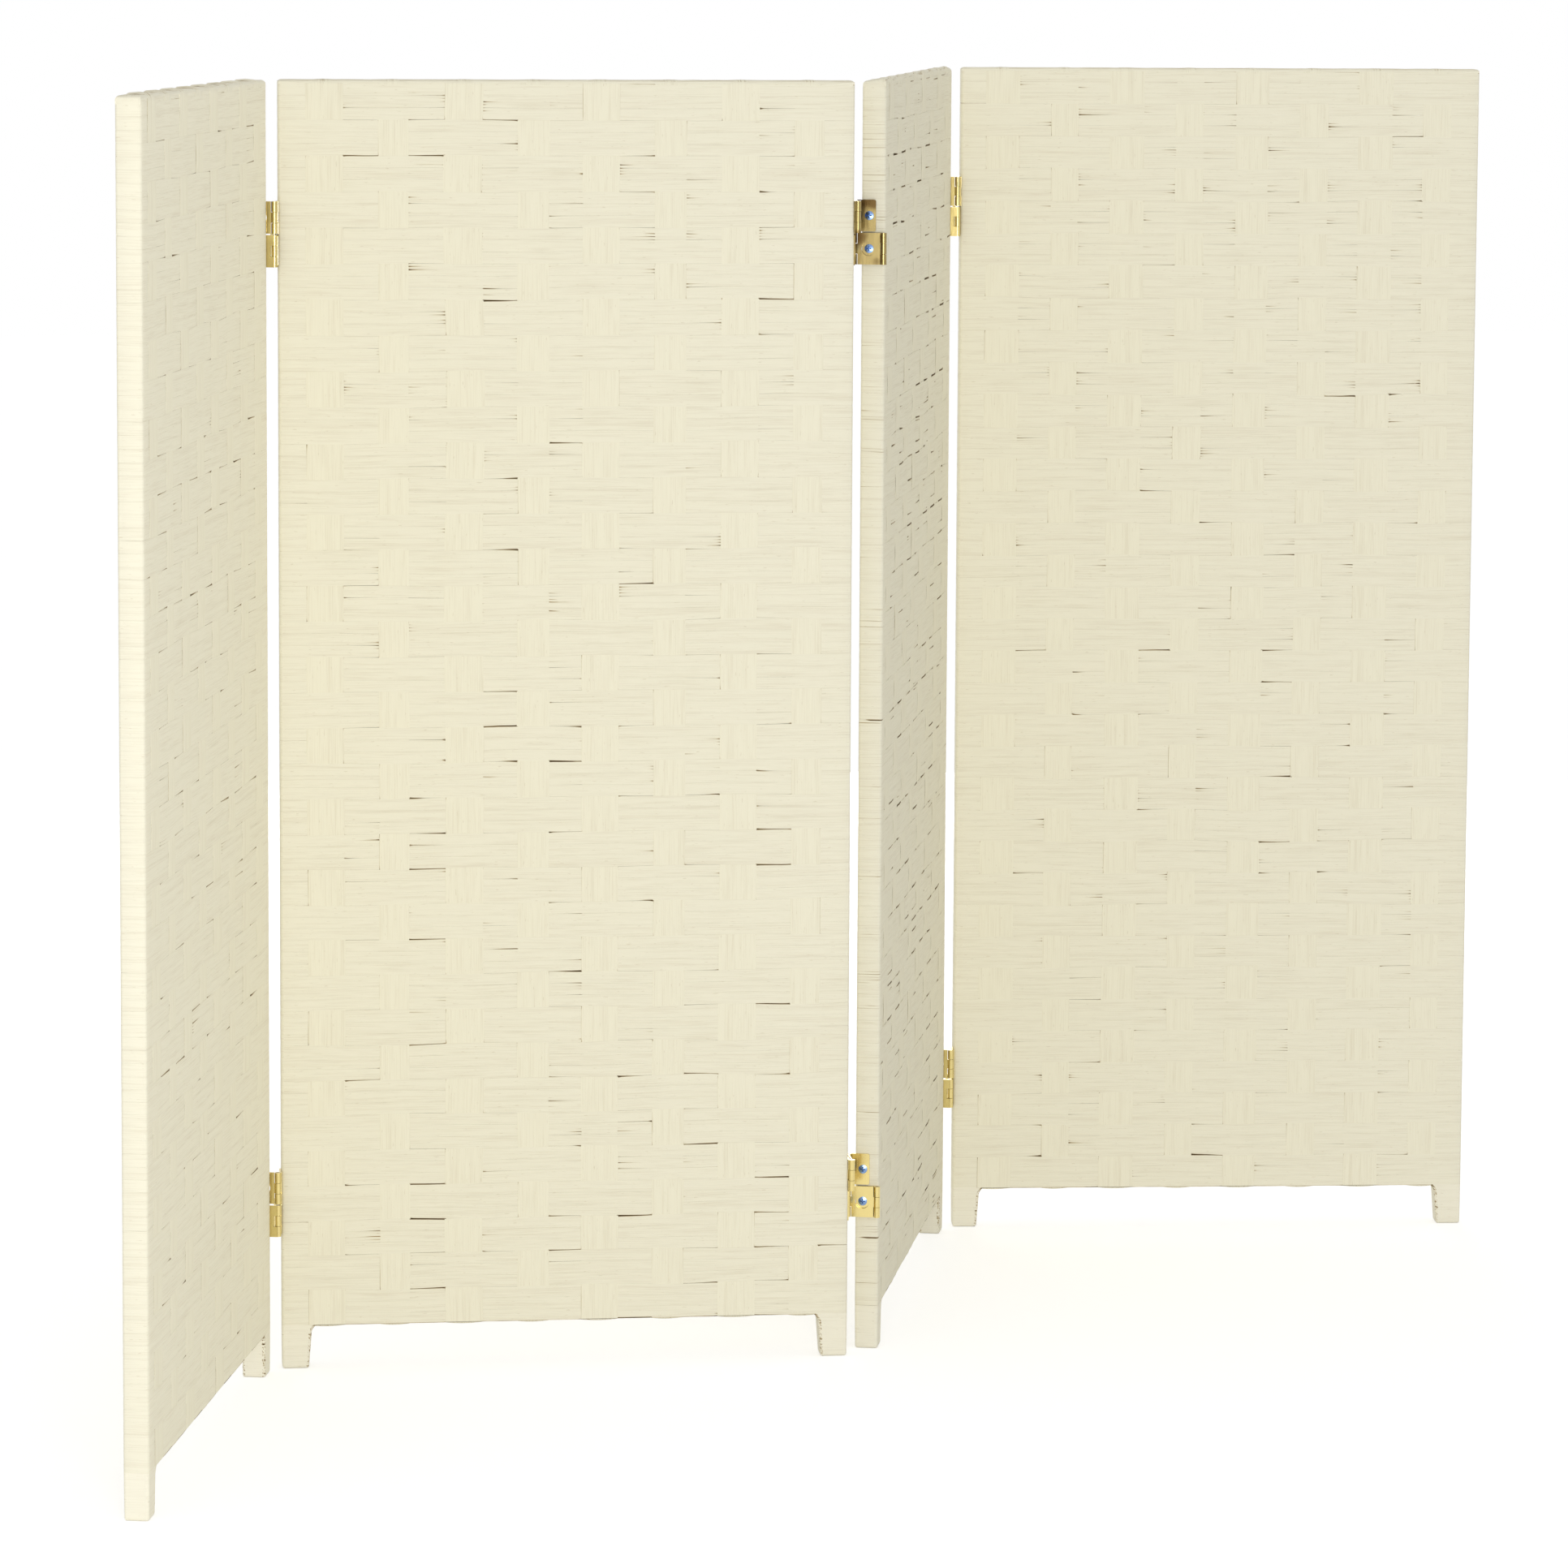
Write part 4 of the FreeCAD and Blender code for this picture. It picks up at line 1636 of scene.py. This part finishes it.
        level_share = np.concatenate((share, (1.0, 0.0)))
        x = self.centres[warp] + sway[:, None] + (level_share - 0.5) * width[:, None]
        flat = path.place[:, None, :] + path.outward[:, None, :] * offset[:, :, None]
        across = np.concatenate((share, self.inside_pattern)) * self.widths[warp]
        loops.lay(
            self.place.in_frame(np.concatenate((x[:, :, None], flat), axis=2)),
            path.along + self.warp_pattern * warp,
            across + self.warp_pattern_across * warp,
            self._warp_marks(path, tone, at_top),
            np.tile(shade, (len(turn), 1)),
        )

    def _warp_marks(self, path: Path, tone: np.ndarray, at_top: np.ndarray) -> np.ndarray:
        """Marks a warp's lines, its edges and what wefts hide, and paints shade on its ends on the rims.

        Args:
            path: The warp's stations.
            tone: The marks of the lines between its strands.
            at_top: 1 for the stations on the top rim, and 0 for the others.

        Returns:
            The tuck mark of each point.
        """
        marks = self.marks
        points = 2 * self.warp_strands + 1
        tuck_and_shade = np.zeros((len(path.level), points))
        tuck_and_shade[:, ::2] = tone
        y, z = path.place.T
        step = (self.top_line - self.bottom_line) / self.rows
        row = np.clip((self.top_line - z) / step, 0, self.rows - 1).astype(int)
        stretch = row + np.where(y > 0.0, self.rows, 0)
        tuck_and_shade[:, 0] = self.rng.uniform(0.0, marks.warp_left, 2 * self.rows)[stretch]
        tuck_and_shade[:, -1] = self.rng.uniform(0.0, marks.warp_right, 2 * self.rows)[stretch]
        # Painted shade: dark crescents at a warp's edges on both rims, and a shaded top rim.
        tuck_and_shade[:, [0, -1]] += np.outer(path.end, marks.rim_edges)
        rest = np.full(points - len(marks.top_edge), marks.top)
        tuck_and_shade += np.outer(at_top, np.concatenate((marks.top_edge, rest)))
        at_hem = (z < self.bottom_line) & (np.abs(y) > self.outer_level - marks.hem_width)
        tuck_and_shade[at_hem] += marks.hem
        # Bare fibre where a weft hides the warp, which also paints shade where it shows beside the weft's
        # edges.
        tuck_and_shade += (path.hidden * marks.under_weft)[:, None]
        return np.hstack((tuck_and_shade, np.full((len(tuck_and_shade), 2), marks.warp_inside)))

    def build_warps(self) -> bpy.types.Object:
        """Weaves the upright straps.

        Returns:
            The straps, as one piece.
        """
        loops = FibreLoops(len(self.warp_path(0).turn), 2 * self.warp_strands + 3)
        for warp in range(self.warps):
            self.lay_warp(loops, warp)
        return loops.joined(f"panel_{self.place.number}_warps")

    def fold_sizes(self, rim: Rim) -> FoldSizes:
        """Gives the sizes of a folded strip. The bottom one fits between the feet.

        Args:
            rim: The rail.

        Returns:
            The sizes.
        """
        if rim is Rim.TOP:
            depth = self.weaving.top_strip + self.fold_overlap
            return FoldSizes(edge=1015.85, depth=depth, inset=0.35, reach=9.15)
        inset = self.sizes.foot_width + self.fold_clearance
        return FoldSizes(edge=33.75, depth=4.2, inset=inset, reach=8.6)

    def build_fold(self, rim: Rim) -> bpy.types.Object:
        """Folds a strip of fibre over the top rail or under the bottom rail, beneath the warps.

        Args:
            rim: The rail.

        Returns:
            The strip.
        """
        fold = self.fold_sizes(rim)
        width = self.sizes.width
        strip = new_block(
            f"panel_{self.place.number}_{rim.name.lower()}_fold",
            size=(width - 2.0 * fold.inset, 2.0 * fold.reach, fold.depth),
            centre=(width / 2.0, 0.0, fold.edge - rim.value * fold.depth / 2.0),
        )
        open_side(strip, Rim(-rim.value))
        round_edges(
            strip,
            lambda heights: np.all(np.abs(heights - fold.edge) < SAME_PLACE),
            radius=min(fold.corner, fold.depth - fold.least_side),
            steps=fold.corner_steps,
        )
        cut_through(Axis.X, np.arange(fold.inset + fold.cut_step, width - fold.inset, fold.cut_step))
        bpy.ops.object.mode_set(mode="OBJECT")
        places = vertex_places(strip)
        sag = self.rng.uniform(-fold.sag, fold.sag, len(places)) * MM
        places[:, 2] += np.where(np.abs(places[:, 2] / MM - fold.edge) < fold.sag_depth, sag, 0.0)
        if rim is Rim.TOP:
            height = np.clip((places[:, 2] / MM - fold.edge + fold.depth) / fold.depth, 0.0, 1.0)
            inset = np.clip((width - places[:, 0] / MM) / self.first_warp, 0.0, 1.0)
            places[:, 2] += height * inset * self.top_lean(places[:, 1] / MM) * MM
        set_vertex_places(strip, places)
        thicken(strip, fold.wall)
        self._mark_fold(strip, rim, fold.edge)
        self.place.settle(strip)
        return strip

    def _mark_fold(self, strip: bpy.types.Object, rim: Rim, edge: float) -> None:
        """Runs the strand lines along a folded strip, marks its hem, and paints shade on the top strip's
        upper side.

        Args:
            strip: The strip, in the panel's own axes.
            rim: The rail that it lies on.
            edge: The height of its outer side.
        """
        places = vertex_places(strip)
        down = np.abs(places[:, 2] - edge * MM)
        across = places[:, 1] + np.sign(places[:, 1]) * down + self.place.number
        set_lay(strip.data, np.column_stack((places[:, 0], across))[corner_vertices(strip.data)])
        at_hem = down > (down.max() - self.marks.fold_hem_width * MM)
        hem = self.rng.uniform(*self.marks.fold_hem, len(places))
        # Painted shade on the upper side of the top strip, between the warps' humps.
        on_top = (down < self.marks.fold_top_depth * MM) & (rim is Rim.TOP)
        tuck_and_shade = np.select((at_hem, on_top), (hem, self.marks.fold_top), self.marks.fold)
        set_mark(strip.data, Mark.TUCK_AND_SHADE, tuck_and_shade)

    def dress(self, finishes: Finishes) -> None:
        """Builds the cover's pieces and hands them over.

        Args:
            finishes: The screen's materials.
        """
        number = self.place.number
        node = f"panel_{number}_woven_cover"
        for piece in self.build_wefts():
            hand_over(piece, number, finishes.weft, node)
        hand_over(self.build_warps(), number, finishes.warp, node)
        for rim in Rim:
            hand_over(self.build_fold(rim), number, finishes.weft, node)


# Feet


@dataclass(frozen=True)
class FootMarks:
    """How dark a foot's tuck marks are.

    Attributes:
        band: The lines between bands of strands.
        line: The other lines between strands.
        line_spread: How much paler or darker a line can be.
        corner: The corners, at most.
        corner_skew: How much more often a corner's mark is pale than dark.
        inner_corner: What is added on the two inner corners, at most.
        inner: The inner side, at most.
        gusset: What is added where the inner side runs out under the cover.
    """

    band: float = 0.3
    line: float = 0.06
    line_spread: Pair = (0.5, 1.2)
    corner: float = 0.55
    corner_skew: float = 1.5
    inner_corner: float = 0.48
    inner: float = 0.22
    gusset: float = 0.45


@dataclass
class WrappedFoot:
    """A stile's end wound with fibre: a rounded cup with level strands."""

    place: PanelPlace
    side: Side
    sizes: PanelSizes = PanelSizes()
    marks: FootMarks = FootMarks()
    seed: int = 70
    top: float = 35.2
    clearance: float = 0.2
    strand: float = 2.2
    first_line: float = 1.2
    last_line: float = 0.8
    band_strands: int = 6
    corner: float = 2.0
    corner_steps: int = 4
    corner_zone_x: float = 2.6
    corner_zone_y: float = 7.2
    corner_cut_x: float = 8.0
    corner_cut_y: float = 6.6
    side_zone: float = 4.0
    sole_round: float = 2.0
    sole_steps: int = 3
    taper: float = 0.3
    taper_curve: float = 1.5
    inner_taper: float = 0.3
    inner_flare: float = 2.0
    groove: float = 0.05
    band_groove: float = 0.12
    groove_spread: float = 0.03
    gusset: float = 4.0
    gusset_height: float = 6.5
    wall: float = 0.62
    side_pattern: float = 0.3

    def build(self) -> bpy.types.Object:
        """Models the cup and sets it in place.

        Returns:
            The foot.
        """
        half_width = self.sizes.foot_width / 2.0
        centre = half_width if self.side is Side.LEFT else self.sizes.width - half_width
        width = self.sizes.foot_width - self.clearance
        depth = 2.0 * self.sizes.half_thickness - self.clearance
        foot = new_block(
            f"panel_{self.place.number}_{self.side.name.lower()}_foot_binding",
            size=(width, depth, self.top),
            centre=(0.0, 0.0, self.top / 2.0),
        )
        open_side(foot, Rim.TOP)
        round_edges(foot, lambda heights: np.ptp(heights) > SAME_PLACE, self.corner, self.corner_steps)
        round_edges(foot, lambda heights: np.all(heights < SAME_PLACE), self.sole_round, self.sole_steps)
        self._wind(foot)
        thicken(foot, self.wall)
        self._lay_pattern(foot)
        places = vertex_places(foot)
        places[:, 0] += centre * MM
        set_vertex_places(foot, places)
        self.place.settle(foot)
        return foot

    def _wind(self, foot: bpy.types.Object) -> None:
        """Cuts the cup into level strands, draws the lines between them in and tapers it downwards.

        Args:
            foot: The cup.
        """
        rng = np.random.default_rng(self.seed + 2 * self.place.number + self.side.value)
        lines = np.arange(self.sole_round + self.first_line, self.top - self.last_line, self.strand / 2.0)
        make_active(foot)
        bpy.ops.object.mode_set(mode="EDIT")
        cut_through(Axis.Z, lines)
        for side in Side:
            cut_through(Axis.X, (side.value * self.corner_cut_x,))
            cut_through(Axis.Y, (side.value * self.corner_cut_y,))
        bpy.ops.object.mode_set(mode="OBJECT")
        places = vertex_places(foot)
        height = places[:, 2] / MM
        number = np.arange(len(lines))
        bands = number % (2 * self.band_strands) == 2 * self.band_strands - 2
        kinds = (bands, number % 2 == 0)
        draw = np.select(kinds, (self.band_groove, self.groove), 0.0)
        draw = draw + rng.uniform(-self.groove_spread, self.groove_spread, len(lines))
        tuck_and_shade = np.select(kinds, (self.marks.band, self.marks.line), 0.0)
        tuck_and_shade = tuck_and_shade * rng.uniform(*self.marks.line_spread, len(lines))
        nearest = np.abs(height[:, None] - lines).argmin(axis=1)
        on_line = np.abs(height - lines[nearest]) < EDGE_HAIR
        inner = places[:, 0] * -self.side.value > self.side_zone * MM
        rise = np.clip((height - self.top + self.gusset_height) / self.gusset_height, 0.0, 1.0)
        mark = np.where(on_line, tuck_and_shade[nearest], 0.0) + self._side_marks(places, inner, rise, rng)
        inward = np.where(on_line, draw[nearest], 0.0)
        inward += self.taper * np.clip(1.0 - height / self.top, 0.0, 1.0) ** self.taper_curve
        sideways = np.sign(places[:, :2]) * (np.abs(places[:, :2]) > self.side_zone * MM)
        places[:, :2] -= sideways * inward[:, None] * MM
        climb = np.clip(height / self.top, 0.0, 1.0)
        lean = self.inner_flare * climb - self.inner_taper * (1.0 - climb) + self.gusset * rise ** 2
        places[:, 0] -= np.where(inner, self.side.value * lean, 0.0) * MM
        set_vertex_places(foot, places)
        set_mark(foot.data, Mark.TUCK_AND_SHADE, mark)

    def _side_marks(
        self, places: np.ndarray, inner: np.ndarray, rise: np.ndarray, rng: np.random.Generator
    ) -> np.ndarray:
        """Marks the foot's corners and its inner side.

        Args:
            places: The vertex places of the cup, before it is tapered.
            inner: Tells which of them lie on the side that looks at the other foot.
            rise: How far up the gusset each of them lies, from 0 to 1.
            rng: The source of chance.

        Returns:
            What is added to each tuck mark.
        """
        marks = self.marks
        zone = (self.sizes.foot_width / 2.0 - self.corner_zone_x, self.corner_zone_y)
        at_corner = np.all(np.abs(places[:, :2]) / MM > zone, axis=1)
        count = len(places)
        mark = np.where(at_corner, rng.uniform(0.0, marks.corner, count) ** marks.corner_skew, 0.0)
        mark += np.where(at_corner & inner, rng.uniform(0.0, marks.inner_corner, count), 0.0)
        mark += np.where(inner, rng.uniform(0.0, marks.inner, count) + marks.gusset * rise ** 2, 0.0)
        return mark

    def _lay_pattern(self, foot: bpy.types.Object) -> None:
        """Runs the strand lines round the foot.

        Args:
            foot: The cup, in its own axes.
        """
        places = vertex_places(foot)
        radius = self.sizes.foot_width / 2.0
        around = np.arctan2(places[:, 1], places[:, 0]) * radius * MM
        across = places[:, 2] + self.place.number + self.side_pattern * self.side.value
        lay = np.column_stack((around, across))[corner_vertices(foot.data)]
        corners = np.empty(len(foot.data.polygons), dtype=np.int32)
        foot.data.polygons.foreach_get("loop_total", corners)
        face_of = np.repeat(np.arange(len(corners)), corners)
        highest = np.full(len(corners), -1.0)
        np.maximum.at(highest, face_of, lay[:, 0])
        behind = highest[face_of] - lay[:, 0] > math.pi * radius * MM
        lay[behind, 0] += math.tau * radius * MM
        set_lay(foot.data, lay)

    def dress(self, finishes: Finishes) -> None:
        """Builds the foot and hands it over.

        Args:
            finishes: The screen's materials.
        """
        number = self.place.number
        node = f"panel_{number}_{self.side.name.lower()}_foot_wrap"
        hand_over(self.build(), number, finishes.foot, node)


# Frame and hinges


@dataclass(frozen=True)
class FrameAndHinges:
    """The carried-over wood and metal parts, which keep their shapes and get their finishes."""

    finishes: Finishes

    def finish_of(self, node: str) -> bpy.types.Material:
        """Picks a part's material by its name.

        Args:
            node: The part's name.

        Returns:
            The material.
        """
        if "screws" in node:
            return self.finishes.zinc
        if "pins" in node:
            return self.finishes.pin
        # The middle hinges get the brass with more painted dark reflection higher up.
        if "middle_hinge" in node:
            return self.finishes.worn_brass
        if "hinge" in node:
            return self.finishes.brass
        return self.finishes.wood

    def dress(self) -> None:
        """Gives every part its material."""
        for name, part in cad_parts.items():
            if part.hide_render:
                continue
            finish = self.finish_of(name)
            part.data.materials.clear()
            part.data.materials.append(finish)
            log.info("%s is finished in %s", name, finish.name)


# Studio


@dataclass(frozen=True)
class ViewPoint:
    """Where the camera stands, in metres, and how it is turned, in degrees."""

    place: Place = (-0.6228, -4.6434, 1.1325)
    turn_right: float = 6.855
    look_down: float = 5.93
    roll: float = 0.302
    lens: float = 136.72
    sensor: float = 36.0
    shift: float = -0.15
    far_limit: float = 100.0

    def build(self) -> None:
        """Sets up the camera."""
        deselect_all()
        bpy.ops.object.camera_add()
        camera = bpy.context.object
        turn = Matrix.Rotation(math.radians(-self.turn_right), 4, "Z")
        tilt = Matrix.Rotation(math.radians(90.0 - self.look_down), 4, "X")
        roll = Matrix.Rotation(math.radians(self.roll), 4, "Z")
        camera.matrix_world = Matrix.Translation(self.place) @ turn @ tilt @ roll
        camera.data.lens = self.lens
        camera.data.sensor_width = self.sensor
        camera.data.shift_y = self.shift
        camera.data.clip_end = self.far_limit
        bpy.context.scene.camera = camera


@dataclass(frozen=True)
class SoftLamp:
    """A broad soft lamp that looks at a point. Sizes are in metres and the power in watts."""

    name: str
    place: Place
    target: Place
    size: float
    power: float

    def build(self) -> None:
        """Hangs the lamp."""
        deselect_all()
        bpy.ops.object.light_add(type="AREA", location=self.place)
        lamp = bpy.context.object
        lamp.name = self.name
        lamp.data.shape = "DISK"
        lamp.data.size = self.size
        lamp.data.energy = self.power
        toward = Vector(self.target) - Vector(self.place)
        lamp.rotation_euler = toward.to_track_quat("-Z", "Y").to_euler()


FRONT_LAMP = SoftLamp("front_lamp", place=(-0.4, -3.0, 0.5), target=(-0.1, 0.0, 0.4), size=1.0, power=25.0)
REAR_LAMP = SoftLamp("rear_lamp", place=(0.5, 3.2, 0.7), target=(0.0, 0.0, 0.4), size=1.4, power=16.0)


@dataclass(frozen=True)
class Studio:
    """A pale floor and soft light in a white room."""

    sky: float = 0.71
    floor_colour: Colour = (0.88, 0.88, 0.88)
    floor_roughness: float = 0.9
    floor_lift: float = 0.38
    floor_size: float = 24.0
    lamps: tuple[SoftLamp, ...] = (FRONT_LAMP, REAR_LAMP)

    def build_floor(self) -> None:
        """Lays the floor, a little brighter where it is seen, so that it reads as white around the shadow."""
        deselect_all()
        bpy.ops.mesh.primitive_plane_add(size=self.floor_size)
        floor = bpy.context.object
        floor.name = "studio_floor"
        sheet, shader, material = start_material("studio_floor")
        shader.inputs["Base Color"].default_value = (*self.floor_colour, 1.0)
        shader.inputs["Roughness"].default_value = self.floor_roughness
        shader.inputs["Specular IOR Level"].default_value = 0.0
        seen = seen_directly(sheet)
        shader.inputs["Emission Color"].default_value = (1.0, 1.0, 1.0, 1.0)
        sheet.join(sheet.math("MULTIPLY", seen, self.floor_lift), shader.inputs["Emission Strength"])
        floor.data.materials.append(material)

    def build_sky(self) -> None:
        """Lights the room evenly, and shows it as white to the camera and in reflections."""
        world = bpy.data.worlds.new("studio")
        bpy.context.scene.world = world
        world.use_nodes = True
        sheet = NodeSheet(world.node_tree)
        seen = seen_directly(sheet)
        light = sheet.add("Background")
        light.inputs["Strength"].default_value = self.sky
        white = sheet.add("Background")
        for node in (light, white):
            node.inputs["Color"].default_value = (1.0, 1.0, 1.0, 1.0)
        choice = sheet.add("MixShader")
        result = sheet.add("OutputWorld")
        sheet.join(seen, choice.inputs[0])
        sheet.join(light.outputs[0], choice.inputs[1])
        sheet.join(white.outputs[0], choice.inputs[2])
        sheet.join(choice.outputs[0], result.inputs["Surface"])

    def build(self) -> None:
        """Sets up floor, light and colour handling."""
        self.build_floor()
        self.build_sky()
        for lamp in self.lamps:
            lamp.build()
        bpy.context.scene.view_settings.view_transform = "Standard"


def main() -> None:
    """Dresses the screen and sets up the studio."""
    logging.basicConfig(level=logging.INFO, format="%(name)s: %(message)s")
    finishes = Finishes.mixed()
    sizes = PanelSizes()
    for number, weaving in WEAVINGS.items():
        place = PanelPlace.from_feet(number, sizes)
        WovenCover(place, sizes, weaving).dress(finishes)
        for side in Side:
            WrappedFoot(place, side, sizes).dress(finishes)
    FrameAndHinges(finishes).dress()
    Studio().build()
    ViewPoint().build()


if __name__ == "__main__":
    main()
